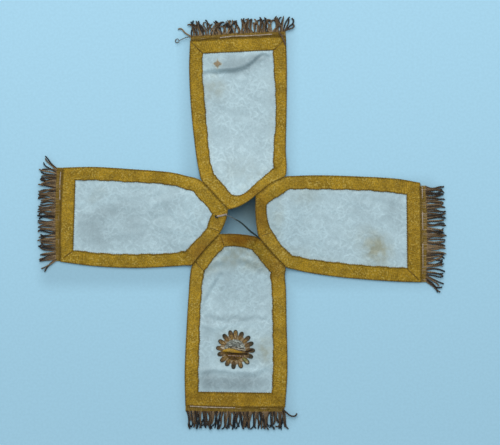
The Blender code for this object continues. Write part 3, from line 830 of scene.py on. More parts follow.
def silk_look():
    look = Look("silk_damask", 0.5, sheen=0.15)
    figure = look.math("MULTIPLY", rosettes(look), look.patches(22.0, 2.0, 0.36, 0.58))
    ribs = look.noise(0.55, 2.0, look.vector(look.math("MULTIPLY", look.across, 0.35), look.along))
    # The last factor darkens the silk where its tone is negative: painted shade in creases and low parts, and
    # darker patches elsewhere.
    colour = look.shaded(
        SILK_BLUE,
        look.patches(30.0, 2.0, 0.3, 0.7, 0.95, 1.05),
        look.patches(5.0, 4.0, 0.25, 0.75, 0.95, 1.05),
        look.remap(figure, 0.0, 1.0, 0.96, 1.06),
        look.remap(ribs, 0.3, 0.7, 0.95, 1.05),
        look.patches(2.0, 2.0, 0.25, 0.75, 0.94, 1.06),
        look.remap(look.tone, -1.0, 0.0, 0.45, 1.0),
    )
    uneven = look.patches(9.0, 3.0, 0.3, 0.65, 0.45, 1.1)
    darkening = look.math("MULTIPLY", look.math("MAXIMUM", look.tone, 0.0), uneven)
    colour = look.tinted(darkening, colour, SOIL_TINT)
    reach = look.chain(
        "ADD", look.gap(look.x, MARK_PLACE[0] * MM), look.gap(look.y, MARK_PLACE[1] * MM),
        look.patches(2.2, 3.0, 0.0, 1.0, -MARK_RAGGED * MM, MARK_RAGGED * MM),
    )
    colour = look.mix(look.remap(reach, 4.5 * MM, 9.0 * MM, 0.45, 0.0), colour, MARK_HALO)
    mark = look.remap(reach, (MARK_REACH - 1.9) * MM, (MARK_REACH + 0.5) * MM, 0.92, 0.0)
    colour = look.mix(mark, colour, look.mix(look.patches(2.0, 2.0, 0.35, 0.65), *MARK_RUSTS))
    look.feed(look.shader.inputs["Roughness"], look.remap(figure, 0.0, 1.0, 0.55, 0.42))
    return look.finish(colour, look.math("MULTIPLY_ADD", figure, 0.6, ribs), 0.2)


def tape_look():
    look = Look("galloon_gold", 0.45, metallic=0.2, specular=0.3)
    flip = look.math("GREATER_THAN", look.math("SINE", look.math("MULTIPLY", look.along, 0.16)), 0.0)
    lean = look.math("MULTIPLY", look.math("MULTIPLY_ADD", flip, 2.0, -1.0), look.across)
    twill = look.stripes(look.math("ADD", look.along, lean), 2.1)
    picks = look.stripes(look.along, 0.75)
    speckle = look.noise(1.5, 3.0)
    colour = look.shaded(
        TAPE_GOLD,
        look.patches(13.0, 3.0, 0.3, 0.7, 0.82, 1.16),
        look.remap(speckle, 0.3, 0.7, 0.72, 1.28),
        look.remap(twill, 0.0, 1.0, 0.82, 1.14),
    )
    # Painted glints: small light flecks of the metal thread, painted into the tape's colour.
    painted_glint = look.patches(2.0, 0.0, 0.55, 0.70, 0.0, 0.75)
    painted_glint = look.math("MULTIPLY", painted_glint, look.patches(17.0, 2.0, 0.35, 0.65, 0.25, 1.0))
    colour = look.mix(painted_glint, colour, PAINTED_GLINT_GOLD)
    # Darker along both edges: partly the tape's dark stitched edges, partly painted shadow along them.
    edge_darkening = look.remap(look.math("ABSOLUTE", look.across), 5.4, 6.8, 1.0, 0.62)
    colour = look.shaded(colour, edge_darkening)
    # Browner where the tone is negative: in part painted shade on the tape's slopes that face away from the
    # light.
    browning_and_shade = look.math("MAXIMUM", look.math("MULTIPLY", look.tone, -1.0), 0.0)
    colour = look.tinted(browning_and_shade, colour, BROWNING_AND_SHADE_TINT)
    colour = look.mix(look.math("MAXIMUM", look.tone, 0.0), colour, SPOT_BROWN)
    relief = look.math("ADD", look.math("MULTIPLY", twill, 0.7), look.math("ADD", picks, speckle))
    return look.finish(colour, relief, 0.22)


# Yarns: stops of their colour, each a tone and then red, green and blue; roughness; metallic
# share; length of a coil; and how much the grain varies
Yarn = namedtuple("Yarn", "stops roughness metallic winding speckle", defaults=(0.3,))
YARNS = {
    "stitch_thread": Yarn(
        ((0.0, 0.04, 0.025, 0.01), (0.4, 0.2, 0.11, 0.02), (1.0, 0.5, 0.38, 0.12)), 0.6, 0.1, 0.6,
    ),
    "heading_braid": Yarn(
        ((0.0, 0.03, 0.02, 0.01), (0.45, 0.34, 0.20, 0.022), (0.7, 0.46, 0.30, 0.07), (1.0, 0.72, 0.58, 0.45)),
        0.5, 0.25, 0.6,
    ),
    "bullion": Yarn(
        (
            (0.0, 0.014, 0.02, 0.026), (0.35, 0.085, 0.05, 0.025),
            (0.65, 0.20, 0.125, 0.062), (1.0, 0.42, 0.28, 0.15),
        ),
        0.5, 0.2, 0.5,
    ),
    "ray_thread": Yarn(
        (
            (0.0, 0.04, 0.045, 0.03), (0.2, 0.095, 0.07, 0.035), (0.4, 0.22, 0.13, 0.055),
            (0.6, 0.44, 0.26, 0.07), (0.85, 0.56, 0.42, 0.26), (1.0, 0.34, 0.32, 0.09),
        ),
        0.45, 0.35, 0.55, 0.45,
    ),
    "silver_thread": Yarn(
        ((0.0, 0.10, 0.10, 0.08), (0.5, 0.34, 0.34, 0.29), (1.0, 0.80, 0.82, 0.72)), 0.42, 0.3, 0.55,
    ),
    "gold_thread": Yarn(
        (
            (0.0, 0.045, 0.022, 0.014), (0.2, 0.10, 0.05, 0.02), (0.5, 0.27, 0.15, 0.04),
            (0.78, 0.66, 0.36, 0.02), (0.93, 0.8, 0.68, 0.5), (1.0, 0.66, 0.46, 0.36),
        ),
        0.42, 0.4, 0.55,
    ),
    "sewing_thread": Yarn(
        ((0.0, 0.015, 0.035, 0.035), (0.5, 0.2, 0.21, 0.19), (1.0, 0.6, 0.48, 0.4)), 0.7, 0.0, 0.5,
    ),
}


def yarn_look(name, yarn):
    """Wound or twisted yarn: its colour follows the tone through its stops."""
    look = Look(name, yarn.roughness, metallic=yarn.metallic)
    ramp = look.tree.nodes.new("ShaderNodeValToRGB")
    look.feed(ramp.inputs[0], look.tone)
    elements = ramp.color_ramp.elements
    for _ in yarn.stops[2:]:
        elements.new(0.5)
    for element, (position, *colour) in zip(elements, yarn.stops):
        element.position = position
        element.color = rgb(*colour)
    grain = look.patches(1.3, 2.0, 0.25, 0.75, 1.0 - yarn.speckle, 1.0 + yarn.speckle)
    coils = look.stripes(look.math("MULTIPLY_ADD", look.across, 0.25, look.along), yarn.winding)
    colour = look.shaded(ramp.outputs[0], grain, look.remap(coils, 0.0, 1.0, 0.8, 1.12))
    return look.finish(colour, coils, yarn.winding * 0.35)


def end_foot(edge, other, lappet):
    """Distance from the outer end's corner, on its edge, to the foot of the window's corner."""
    along, across = unit(edge.points[-2] - edge.points[-1]), unit(other.points[-1] - edge.points[-1])
    sine = abs(along[0] * across[1] - along[1] * across[0])
    return (lappet.end.width + edge.widths[-1] * (along @ across)) / sine


def end_length(edges):
    """Distance between the corners of the outer end."""
    return np.linalg.norm(edges[0].points[-1] - edges[1].points[-1])


def end_point(edges, lappet, share, distance, widths=0.0):
    """Points outside the panel's outer end, this far out and this many of the heading's widths."""
    left, right = edges[0].points[-1], edges[1].points[-1]
    outward = unit(np.array((left[1] - right[1], right[0] - left[0])))
    if outward @ left < 0:
        outward = -outward
    share = np.asarray(share, float)
    width = lappet.heading.left + (lappet.heading.right - lappet.heading.left) * share
    out = distance + width * widths + bulge(share) * (lappet.end.bow + lappet.heading.bow * widths)
    return between(left, right, share) + out[..., None] * outward


def silk_grid(edges, lappet):
    """Points in the plane that cover the lappet, in rows from its tip to its outer end."""
    rows = np.linspace(0, 1, round(max(edge.length for edge in edges) / SILK_STEP) + 1)
    columns = np.linspace(0, 1, SILK_COLUMNS)
    left, right = (edge.at(rows * edge.length)[:, None] for edge in edges)
    bow = np.clip(1 - rows * 10, 0, 1) * lappet.tip.bow + np.clip(rows * 10 - 9, 0, 1) * lappet.end.bow
    bow = (bow[:, None] * bulge(columns))[..., None]
    return between(left, right, columns[None]) + bow * turned(lappet, 1.0, 0.0)


def blotches(points, stains_and_shades):
    """How strongly these stains and painted shades cover each point."""
    total = np.zeros(points.shape[:-1])
    for place, reach, strength in stains_and_shades:
        spread = (points - np.array(place)) / np.array(reach)
        total += strength * np.exp(-((spread**2).sum(axis=-1) ** 1.3))
    return np.clip(total, -1.0, 1.0)


def make_silk(name, lappet, edges, look):
    """Silk sheet, with its width and length opened out, in metres, and its area."""
    grid = silk_grid(edges, lappet)
    outline = np.concatenate([grid[0], grid[1:, -1], grid[-1, -2::-1], grid[-2::-1, 0]])[::3]
    depth = line_distance(grid, outline)
    relief = sum(height * waves(grid, size) for height, size in SWELLS)
    for width, height, line in CREASES[name]:
        relief += height * np.exp(-((line_distance(grid, line) / width) ** 2))
    held, ease = EMBLEM_HOLD
    relief *= smooth((np.linalg.norm(grid - np.array(EMBLEM_CENTRE), axis=-1) - held) / ease)
    height, size, middle, reach = PUCKERS
    relief += height * waves(grid, size, 9) * np.exp(-(((depth - middle) / reach) ** 2))
    held, ease = TAPE_HOLD
    top = raised(grid, SILK_TOP + smooth((depth - held) / ease) * relief)
    top[..., 2] = SILK_LOWEST + SILK_EASE * np.log1p(np.exp((top[..., 2] - SILK_LOWEST) / SILK_EASE))
    # Darkening: stains, and soil along the tape, as positive values; painted shade and other darker patches as
    # negative ones.
    darkening = blotches(grid, STAINS_AND_SHADE[name]) + EDGE_SOIL * np.exp(-(((depth - TAPE_WIDTH) / EDGE_SOIL_REACH) ** 2))
    weave = np.stack([grid @ turned(lappet, 0.0, 1.0), grid @ turned(lappet, 1.0, 0.0), darkening], axis=-1)
    piece = Piece()
    slab(piece, top, SILK_THICKNESS, weave)
    obj = piece.make(f"silk_{name}", look)
    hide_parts(f"panel_{name}")
    middle = top[:, top.shape[1] // 2]
    steps = np.diff(top, axis=0)[:, :-1]
    strides = np.diff(top, axis=1)[:-1]
    area = np.linalg.norm(np.cross(steps, strides), axis=-1).sum()
    width = np.linalg.norm(strides, axis=-1).sum(axis=1).max()
    return obj, (width * MM, path_distances(middle)[-1] * MM), area * MM * MM


def stations(length):
    """Shares of a strip's length, closer together at its mitred ends."""
    count = max(2, round((length - 2 * MITRE_END) / TAPE_STEP))
    inner = np.linspace(MITRE_END, length - MITRE_END, count)
    return np.concatenate([MITRE_STEPS, inner, length - MITRE_STEPS[::-1]]) / length


def lay_strip(piece, plane, start, spots):
    """One strip of tape over plane points, in rows along it and columns over its section."""
    along = path_distances(plane[:, plane.shape[1] // 2])
    to_mitre = np.minimum(along, along[-1] - along)
    dip = 1.0 - MITRE_DIP * np.exp(-((to_mitre / MITRE_DIP_REACH) ** 2))
    uneven = 1.0 + 0.05 * np.sin(along / 3.1 + start) + 0.04 * np.sin(along / 1.3)
    top = raised(plane, TAPE_FOOT + TAPE_THICKNESS * TAPE_HEIGHTS * (dip * uneven)[:, None])
    rim = raised(plane[:, (-1, 0)], TAPE_FOOT - TAPE_SINK)
    rings = np.concatenate([top, rim], axis=1)
    weave = np.zeros(rings.shape)
    weave[..., 0] = (np.append(TAPE_SHARES, (1.0, 0.0)) - 0.5) * TAPE_WIDTH
    weave[..., 1] = along[:, None] + start
    weave[..., 2] = blotches(rings[..., :2], spots)
    piece.add_rings(rings, weave)


def make_tape(name, lappet, edges, look):
    """Galloon of four mitred strips, with the plane points of each strip."""
    piece = Piece()
    lines = []
    for edge, other in (edges, edges[::-1]):
        foot = end_foot(edge, other, lappet)
        steps = stations(edge.length - (edge.tip_foot + foot) / 2)[:, None]
        first, last = TAPE_SHARES * edge.tip_foot, edge.length - TAPE_SHARES * foot
        plane = edge.inset(first + (last - first) * steps, TAPE_SHARES[None], TAPE_OVERHANG)
        lay_strip(piece, plane, edge.side * 57.0, TAPE_SPOTS[name])
        lines.append(plane)
    borders = (
        (0, 14.0, lappet.tip.bow - TAPE_OVERHANG, lappet.tip.window_bow),
        (-1, 32.0, lappet.end.bow + TAPE_OVERHANG, 0.0),
    )
    for row, start, outer_bow, inner_bow in borders:
        left, right = lines[0][row], lines[1][row]
        steps = stations(np.linalg.norm((left - right).mean(axis=0)))[:, None]
        plane = between(left[None], right[None], np.broadcast_to(steps, (len(steps), len(TAPE_SHARES))))
        bow = bulge(steps) * (outer_bow * (1 - TAPE_SHARES) + inner_bow * TAPE_SHARES)
        plane = plane + bow[..., None] * turned(lappet, 1.0, 0.0)
        lay_strip(piece, plane, start, TAPE_SPOTS[name])
        lines.append(plane)
    obj = piece.make(f"tape_{name}", look)
    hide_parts(f"galloon_{name}")
    return obj, lines


def stitch_row(piece, line, inward, row, lifts):
    """Overcast stitches along a line in the plane; inward points over the tape."""
    for k in range(1, int(path_distances(line)[-1] / row.pitch)):
        where = (k + random.uniform(-0.2, 0.2)) * row.pitch
        place, after = points_at(line, (where, where + 0.4))
        along = unit(after - place)
        into = np.array((along[1], -along[0])) * inward
        slant = along * random.uniform(0.3, 0.9)
        plane = np.array([
            place - into * row.reach_out,
            place - into * row.reach_out * 0.5 + slant * 0.2,
            place + into * row.reach_in * 0.4 + slant * 0.7,
            place + into * row.reach_in + slant,
        ])
        tube(piece, raised(plane, lifts), STITCH_RADIUS, STITCH_TONE + random.uniform(-0.15, 0.15), sides=5)


# Joins across the tape: lines from its outer edge to its inner one
JOINS = {
    "top": (((-57.7, 207.4), (-51.5, 201.0), (-45.7, 195.3)), ((48.5, 209.5), (43.0, 204.0), (37.2, 198.7))),
    "right": (((23.4, -14.3), (28.0, -13.2), (33.6, -11.2)), ((203.4, -65.6), (196.5, -59.0), (189.7, -52.7))),
    "bottom": (
        ((-23.6, -15.2), (-21.9, -20.0), (-20.8, -25.4)), ((-52.6, -45.1), (-47.0, -51.5), (-42.3, -56.6)),
    ),
    "left": (
        ((-36.2, -5.8), (-31.0, -7.6), (-25.6, -9.7)), ((-205.0, -40.0), (-200.0, -36.8), (-194.6, -33.2)),
    ),
}


def make_stitches(name, lines, look):
    """Overcast stitches on both edges of the tape, and its joins."""
    piece = Piece()
    top = TAPE_FOOT + TAPE_THICKNESS * 0.85
    inner_lifts = (SILK_TOP - 0.1, SILK_TOP + 0.5, top + 0.35, top - 0.1)
    outer_lifts = (1.0, 1.9, top + 0.35, top - 0.1)
    for join in JOINS[name]:
        tube(piece, raised(curve_points(join), top), JOIN_RADIUS, JOIN_TONE)
    for plane, side in zip(lines, (1, -1, -1, 1)):
        stitch_row(piece, plane[:, -1], -side, INNER_STITCHES, inner_lifts)
        stitch_row(piece, plane[:, 0], side, OUTER_STITCHES, outer_lifts)
    return piece.make(f"stitches_{name}", look)


# Paler stretches of the headings' cord
STREAKS = {
    "top": (((-25.0, 212.6), (-11.2, 214.3), (7.2, 214.9), (34.8, 216.6)),),
    "right": (
        ((207.3, 41.0), (207.6, 28.0)), ((207.8, 12.0), (208.0, -8.0)), ((208.0, -24.0), (208.2, -52.0)),
    ),
    "bottom": (((-59.5, -210.7), (-34.0, -212.0), (-7.8, -212.5)),),
    "left": (((-207.9, 58.4), (-208.6, 51.0), (-209.0, 43.4)), ((-209.0, 37.7), (-209.0, 26.2))),
}


def make_braid(name, lappet, edges, look):
    """Heading: a base strip, short bars across it, a paler cord along it and stitches."""
    piece = Piece()
    start = lappet.heading.start
    length = end_length(edges)
    steps = np.linspace(start, 1, 61)
    plane = np.stack([end_point(edges, lappet, steps, 0.1, share) for share, _ in BRAID_SECTION], axis=1)
    heights = [height * BRAID_BASE for _, height in BRAID_SECTION]
    rings = np.concatenate([at_height(plane, heights), at_height(plane[:, (-1, 0)], FLOOR_GAP)], axis=1)
    weave = np.zeros(rings.shape)
    weave[..., 1] = (steps * length)[:, None]
    weave[..., 2] = 0.5
    piece.add_rings(rings, weave)
    for share in np.arange(0.9 + start * length, length - 0.6, CROSSBAR_PITCH) / length:
        where = share + random.uniform(-0.1, 0.1) / length
        ends = [end_point(edges, lappet, where, 0.2, part) for part, _ in CROSSBAR_LINE]
        lift = np.array([height for _, height in CROSSBAR_LINE]) + random.uniform(-0.1, 0.1)
        tube(piece, at_height(ends, lift), CROSSBAR_RADIUS, random.uniform(0.38, 0.7) + lappet.heading.pale)
    steps = np.linspace(0.01 + start, 0.99, 150)
    wander = 0.24 + 0.05 * np.sin(steps * 21.0 + lappet.facing) + 0.03 * np.sin(steps * 57.0)
    cord = end_point(edges, lappet, steps, 0.2, wander)
    pale = np.clip(0.62 + 0.55 * np.sin(steps * 16.0 + lappet.facing) * np.sin(steps * 37.0), 0.5, 1.0)
    path = at_height(cord, CORD_HEIGHT + 0.25 * np.sin(steps * 80.0))
    twisted(piece, path, *CORD_PLIES, pale * 0.8, sides=5)
    for streak in STREAKS[name]:
        twisted(piece, at_height(curve_points(streak), STREAK_HEIGHT), *STREAK_PLIES, 1.0)
    for share in np.arange(1.5, length - 1.0, BRAID_STITCH_PITCH) / length:
        place = end_point(edges, lappet, share, -0.9, 0.0)
        over = end_point(edges, lappet, share + 0.6 / length, 0.9, 0.0)
        path = at_height([place, (place + over) / 2, over], BRAID_STITCH_HEIGHTS)
        tube(piece, path, BRAID_STITCH_RADIUS, 0.5, sides=5)
    obj = piece.make(f"braid_{name}", look)
    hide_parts(f"heading_{name}")
    return obj


def strand_path(root, direction, length, bends, lift):
    """Centreline of a strand that turns by these angles, in degrees, along its length."""
    count = max(12, round(length / 0.5))
    share = np.linspace(0, 1, count)
    lean, curl, sway, phase, hook = bends
    angle = lean + curl * share + sway * np.sin(share * 5.0 + phase)
    angle = np.radians(angle + hook * np.clip((share - 0.6) / 0.4, 0, 1) ** 1.5) + math.atan2(*direction[::-1])
    strides = np.column_stack([np.cos(angle), np.sin(angle)])[:-1] * length / (count - 1)
    plane = root + np.concatenate([[(0.0, 0.0)], np.cumsum(strides, axis=0)])
    height = lift[0] + (lift[1] - lift[0]) * smooth(share) + 0.35 * np.sin(share * 4.0 + phase)
    return at_height(plane, np.maximum(height, 1.0))


# Stray strands and loose ends at the fringes' corners: a line in the plane, the radius and
# offset of the two plies, and the tone
STRAYS = {
    "top": (
        (((-57.5, 213.6), (-60.2, 213.3), (-64.6, 212.5), (-69.3, 210.4), (-72.0, 209.4), (-73.2, 210.9),
          (-75.6, 210.6), (-76.3, 208.4), (-74.6, 206.8), (-72.4, 207.4), (-71.8, 209.2)), 0.3, 0.24, 0.55),
        (((42.6, 219.2), (45.6, 214.6), (48.2, 209.4), (50.3, 204.2)), 0.8, 0.5, 0.62),
        (((52.0, 222.5), (55.5, 226.0), (58.3, 228.6), (59.5, 232.4), (57.6, 235.0)), 0.62, 0.5, 0.15),
        (((50.0, 221.0), (54.6, 222.4), (58.8, 224.0), (60.0, 226.8), (58.0, 229.0)), 0.6, 0.5, 0.5),
    ),
    "bottom": (
        (((47.0, -214.5), (49.7, -216.5), (55.9, -221.5), (61.2, -221.9), (63.3, -219.1)), 0.62, 0.5, 0.3),
    ),
}


def make_strands(name, lappet, edges, look):
    """Fringe: strands that hang from the heading's outer edge, and the strays."""
    piece = Piece()
    end = (edges[0].points[-1], edges[1].points[-1])
    for line, ply, offset, tone in STRAYS.get(name, ()):
        path = curve_points(line)
        lift = np.where(line_distance(path, end) < STRAY_NEAR, STRAY_HIGH, STRAY_LOW)
        twisted(piece, raised(path, lift), ply, offset, PLY_TURN, tone)
    fringe, start = lappet.fringe, lappet.heading.start
    for number in range(fringe.strands):
        share = (number + 0.5 + random.uniform(-0.3, 0.3)) / fringe.strands
        share = start + (0.995 - start) * share
        left_end = max(0.0, 1.0 - share / FAN_SHARE) ** FAN_EASE
        right_end = max(0.0, 1.0 - (1.0 - share) / FAN_SHARE) ** FAN_EASE
        lean = fringe.lean_left * left_end + fringe.lean_right * right_end
        lean += fringe.jitter * 0.9 * math.sin(share * 39.0 + lappet.facing)
        root = end_point(edges, lappet, share, -0.9, 1.0)
        direction = end_point(edges, lappet, share, 1.0) - end_point(edges, lappet, share, 0.0)
        reach = (fringe.length + 1.2) * random.uniform(*STRAND_LENGTHS)
        curl, sway, hook = (fringe.curl * random.normal(0.0, spread) for spread in STRAND_TURNS)
        bends = (lean + random.normal(0.0, fringe.jitter * 0.6), curl, sway, random.uniform(0, 6.3), hook)
        path = strand_path(root, direction, reach, bends, (ROOT_HEIGHT, random.uniform(*TIP_HEIGHTS)))
        tone = random.uniform(*STRAND_TONES) + ROOT_TONE * np.linspace(1, 0, len(path)) + fringe.tone
        tone = np.clip(tone, 0.0, 1.0)
        twisted(piece, path, PLY_RADIUS, PLY_OFFSET, PLY_TURN, tone, random.uniform(0, 6.3), hairpin=True)
    obj = piece.make(f"strands_{name}", look)
    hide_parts(f"fringe_{name}")
    return obj


def in_emblem(points, angle):
    """Points measured from the emblem's centre, turned about it by an angle in degrees."""
    cosine, sine = math.cos(math.radians(angle)), math.sin(math.radians(angle))
    return np.array(EMBLEM_CENTRE) + np.asarray(points, float) @ np.array(((cosine, sine), (-sine, cosine)))


def emblem_round(turn, radius, tilt):
    """Points round the emblem's centre at these angles."""
    return in_emblem(np.column_stack([np.cos(turn), np.sin(turn)]) * np.reshape(radius, (-1, 1)), tilt)


def make_rays(look):
    """Padded petals with a dark rim, over a brown ground that shows between them."""
    piece = Piece()
    turn = np.linspace(-math.pi, math.pi, 33)
    ground = emblem_round(turn[:-1], GROUND_RADIUS + 0.6 * np.sin(turn[:-1] * 7.0), 0.0)
    mound(piece, ground, EMBLEM_CENTRE, EMBLEM_FOOT - 0.3, 0.5, 0.8)
    for angle, length, tone in RAYS:
        out = RAY_ROOT_RADIUS + (length - RAY_RIM - RAY_ROOT_RADIUS) * (0.5 + 0.5 * np.cos(turn))
        wide = (RAY_HALF_WIDTH - RAY_RIM) * np.sin(turn) * (0.74 + 0.26 * np.cos(turn))
        outline = in_emblem(np.column_stack([out, wide]), angle)
        middle = in_emblem([((RAY_ROOT_RADIUS + length) / 2, 0.0)], angle)[0]
        mound(piece, outline[:-1], middle, EMBLEM_FOOT - 0.3, 1.2, tone + 0.02 - 0.14 * np.cos(turn[:-1]))
        rim = np.clip(0.3 - 0.26 * np.cos(turn) + random.uniform(-0.04, 0.06), 0.0, 1.0)
        tube(piece, at_height(outline, EMBLEM_FOOT + 0.6), RAY_RIM, rim, sides=8)
    obj = piece.make("ray_loops", look)
    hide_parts("emblem_rays")
    return obj


def lay_rows(piece, low, high, tones):
    """Rows of short couched threads across the disc, between two heights from its centre."""
    arch = 0.12 * np.sin(np.linspace(0, math.pi, 6))
    for height in np.arange(low + 0.5, high - 0.2, CHIP_ROW):
        half = math.sqrt(DISC_RADIUS**2 - height**2) - 0.2
        start = -half
        while start < half - 0.6:
            size = min(random.uniform(*CHIP_LENGTHS), half - start)
            line = np.linspace(start, start + size, 6)
            wave = height + 0.1 * np.sin(line * 1.7 + height * 3.0)
            plane = in_emblem(np.column_stack([line, wave]), BAR_TILT)
            lift = EMBLEM_FOOT + 0.35 + arch + random.uniform(-0.05, 0.08)
            tube(piece, at_height(plane, lift), CHIP_RADIUS, random.uniform(*tones))
            start += size + CHIP_GAP


def lay_ground(piece, start, end, tone):
    """Low padding under part of the disc, from one angle round to another."""
    outline = emblem_round(np.linspace(start, end, 28), DISC_RADIUS - 0.1, BAR_TILT)
    mound(piece, outline, outline.mean(axis=0), EMBLEM_FOOT - 0.4, 0.6, tone)


def make_silver(look):
    """The disc's silver upper half."""
    piece = Piece()
    lay_rows(piece, *SILVER_ROWS, (0.25, 1.0))
    lay_ground(piece, -0.03, math.pi + 0.03, 0.5)
    obj = piece.make("silver_rows", look)
    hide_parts("emblem_silver")
    return obj


def make_field(look):
    """The disc's gold-brown field, with a row of beads."""
    piece = Piece()
    lay_rows(piece, *FIELD_ROWS, (0.25, 0.6))
    cut = math.asin(-FIELD_ROWS[1] / DISC_RADIUS)
    lay_ground(piece, math.pi + cut, 2 * math.pi - cut, 0.4)
    for place in np.arange(*BEADS, BEAD_PITCH):
        bead = in_emblem(np.array(BEAD_LINE) + (place, 0.0), BAR_TILT)
        tube(piece, at_height(bead, EMBLEM_FOOT + 1.1), BEAD_RADIUS, 1.0, sides=7)
    obj = piece.make("field_rows", look)
    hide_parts("emblem_field")
    return obj


def make_bar(look):
    """The raised bar across the disc, the dark thread below it and those beside it."""
    piece = Piece()
    along = np.linspace(*BAR_ENDS, 60)
    thick = read_off(BAR_RADII, along)
    plane = in_emblem(np.column_stack([along, read_off(BAR_AXIS, along)]), BAR_TILT)
    path = at_height(plane, EMBLEM_FOOT + 1.3 + thick * 0.45)
    tube(piece, path, thick, read_off(BAR_TONES, along), sides=14)
    line = np.linspace(LOWER_LINE[0][0], LOWER_LINE[-1][0], 40)
    lower = in_emblem(np.column_stack([line, read_off(LOWER_LINE, line)]), BAR_TILT)
    tube(piece, at_height(lower, EMBLEM_FOOT + 1.2), LOWER_RADIUS, LOWER_TONE, sides=7)
    # The pale threads are partly painted highlight, where white glints show.
    for line, radius, tone in BAR_LINES:
        tube(piece, at_height(in_emblem(curve_points(line), 0.0), EMBLEM_FOOT + 1.6), radius, tone)
    obj = piece.make("bar_roll", look)
    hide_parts("emblem_bar")
    return obj


def make_pale_stitch(look):
    """Two pale threads of the stitch, and a dark ring round its needle hole: painted shade inside the loop."""
    piece = Piece()
    stitch = curve_points(PALE_STITCH)
    top = TAPE_FOOT + TAPE_THICKNESS
    for across, tone in ((-PALE_STITCH_OFFSET, 0.85), (PALE_STITCH_OFFSET, 1.0)):
        tube(piece, raised(stitch + (0.0, across), top + 0.5), PALE_STITCH_RADIUS, tone, sides=8)
    # Dark ring round the hole: painted shade inside the loop.
    tube(piece, raised(curve_points(PALE_STITCH_HOLE), top + 0.15), HOLE_RADIUS, 0.0, sides=8)
    return piece.make("pale_stitch", look)


def make_thread(look):
    piece = Piece()
    path = curve_points(np.array(THREAD_ROUTE) / MM)
    distances = path_distances(path)
    even = np.linspace(0, distances[-1], 150)
    path = points_at(path, even)
    # Tone from pale to dark: partly the thread's own colour, partly painted shade over the shaded opening.
    tone = read_off(THREAD_TONES, even)
    radius = read_off(THREAD_RADII, even)
    twisted(piece, path, radius, radius * THREAD_OFFSET, THREAD_TURN, tone, sides=8)
    obj = piece.make("sewing_thread", look)
    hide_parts("loose_thread")
    make_pale_stitch(look)


silk = silk_look()
tape = tape_look()
yarns = {name: yarn_look(name, yarn) for name, yarn in YARNS.items()}

for name, lappet in LAPPETS.items():
    edges = Edge(lappet, 1), Edge(lappet, -1)
    cloth, flat, area = make_silk(name, lappet, edges, silk)
    tape_obj, lines = make_tape(name, lappet, edges, tape)
    with_pieces = [
        tape_obj,
        make_stitches(name, lines, yarns["stitch_thread"]),
        make_braid(name, lappet, edges, yarns["heading_braid"]),
        make_strands(name, lappet, edges, yarns["bullion"]),
    ]
    if name == "bottom":
        with_pieces += [
            make_rays(yarns["ray_thread"]),
            make_silver(yarns["silver_thread"]),
            make_field(yarns["gold_thread"]),
            make_bar(yarns["gold_thread"]),
        ]
make_thread(yarns["sewing_thread"])


# Shade on the ground: below the tent, its middle, reach and strength; round the two arms of
# the cross, each arm's centre and half its width and height, the reach, and the tone
TENT_SHADE_PLACE = (12.0, 18.0)
TENT_SHADE_REACH = 52.0
TENT_SHADE = 0.9
ARMS = (((-5.0, -6.0), (52.0, 216.0)), ((-4.0, -12.0), (216.0, 50.0)))
ARM_SHADE_REACH = 22.0
ARM_SHADE = 0.83

# Ground's size in metres. Key light: its diameter, power, distance in metres, and direction
# in degrees. Light of the room: its colour and strength
FLOOR_SIZE = 3.0
KEY_SIZE = 3.5
KEY_ENERGY = 70.0
KEY_DISTANCE = 3.2
KEY_BEARING = 98
KEY_RISE = 58
ROOM_COLOUR = rgb(0.78, 0.92, 1.0)
ROOM_STRENGTH = 0.41


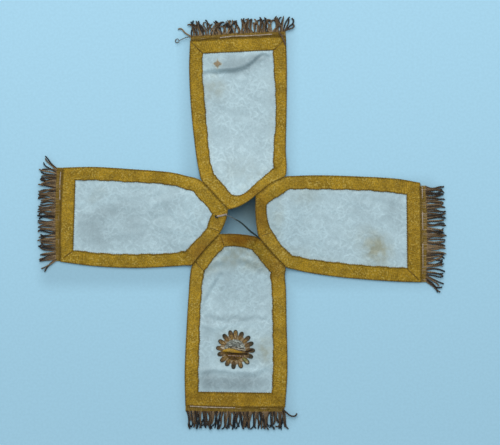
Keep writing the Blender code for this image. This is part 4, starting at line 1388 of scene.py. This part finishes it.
def make_floor():
    mesh = bpy.data.meshes.new("floor")
    half = FLOOR_SIZE / 2
    corners = [(-half, -half, 0), (half, -half, 0), (half, half, 0), (-half, half, 0)]
    mesh.from_pydata(corners, [], [(0, 1, 2, 3)])
    look = Look("floor", 0.8, specular=0.2)
    places = (look.x, look.y)
    aside, ahead = (look.math("SUBTRACT", *pair) for pair in zip(places, np.array(TENT_SHADE_PLACE) * MM))
    shade = look.remap(look.distance(aside, ahead), 0.0, TENT_SHADE_REACH * MM, TENT_SHADE, 0.0)
    arm_shades = []
    for centre, extents in ARMS:
        gaps = []
        for place, middle, extent in zip(places, centre, extents):
            outside = look.math("SUBTRACT", look.gap(place, middle * MM), extent * MM)
            gaps.append(look.math("MAXIMUM", outside, 0.0))
        arm_shades.append(look.remap(look.distance(*gaps), 0.0, ARM_SHADE_REACH * MM, ARM_SHADE, 1.0))
    # Painted light: the ground lighter towards +Y, the key light's side, and darker away from it.
    painted_light_falloff = look.remap(look.y, -0.3, 0.3, 0.95, 1.05)
    grain = look.patches(3.0, 2.0, 0.3, 0.7, 0.98, 1.02)
    colour = look.shaded(GROUND_BLUE, painted_light_falloff, grain, look.math("MINIMUM", *arm_shades))
    mesh.materials.append(look.finish(look.tinted(shade, colour, SHADE_TINT)).material)
    placed("floor", mesh)


def make_lights():
    data = bpy.data.lights.new("key", "AREA")
    data.shape = "DISK"
    data.size = KEY_SIZE
    data.energy = KEY_ENERGY
    key = placed("key", data)
    bearing, rise = math.radians(KEY_BEARING), math.radians(KEY_RISE)
    level = KEY_DISTANCE * math.cos(rise)
    key.location = (level * math.cos(bearing), level * math.sin(bearing), KEY_DISTANCE * math.sin(rise))
    key.rotation_euler = (-key.location).to_track_quat("-Z", "Y").to_euler()
    world = bpy.data.worlds.new("room")
    world.use_nodes = True
    background = world.node_tree.nodes["Background"]
    background.inputs["Color"].default_value = ROOM_COLOUR
    background.inputs["Strength"].default_value = ROOM_STRENGTH
    bpy.context.scene.world = world


def make_camera():
    data = bpy.data.cameras.new("camera")
    data.sensor_width = SENSOR_WIDTH
    data.lens = SENSOR_WIDTH * CAMERA_HEIGHT / (PHOTO_SIZE[0] * MM_PER_PIXEL)
    camera = placed("camera", data)
    x = (PHOTO_SIZE[0] / 2 - ORIGIN_PIXEL[0]) * MM_PER_PIXEL
    y = (ORIGIN_PIXEL[1] - PHOTO_SIZE[1] / 2) * MM_PER_PIXEL
    camera.location = (x * MM, y * MM, CAMERA_HEIGHT * MM)
    bpy.context.scene.camera = camera


make_floor()
make_lights()
make_camera()
bpy.context.scene.view_settings.view_transform = "Standard"
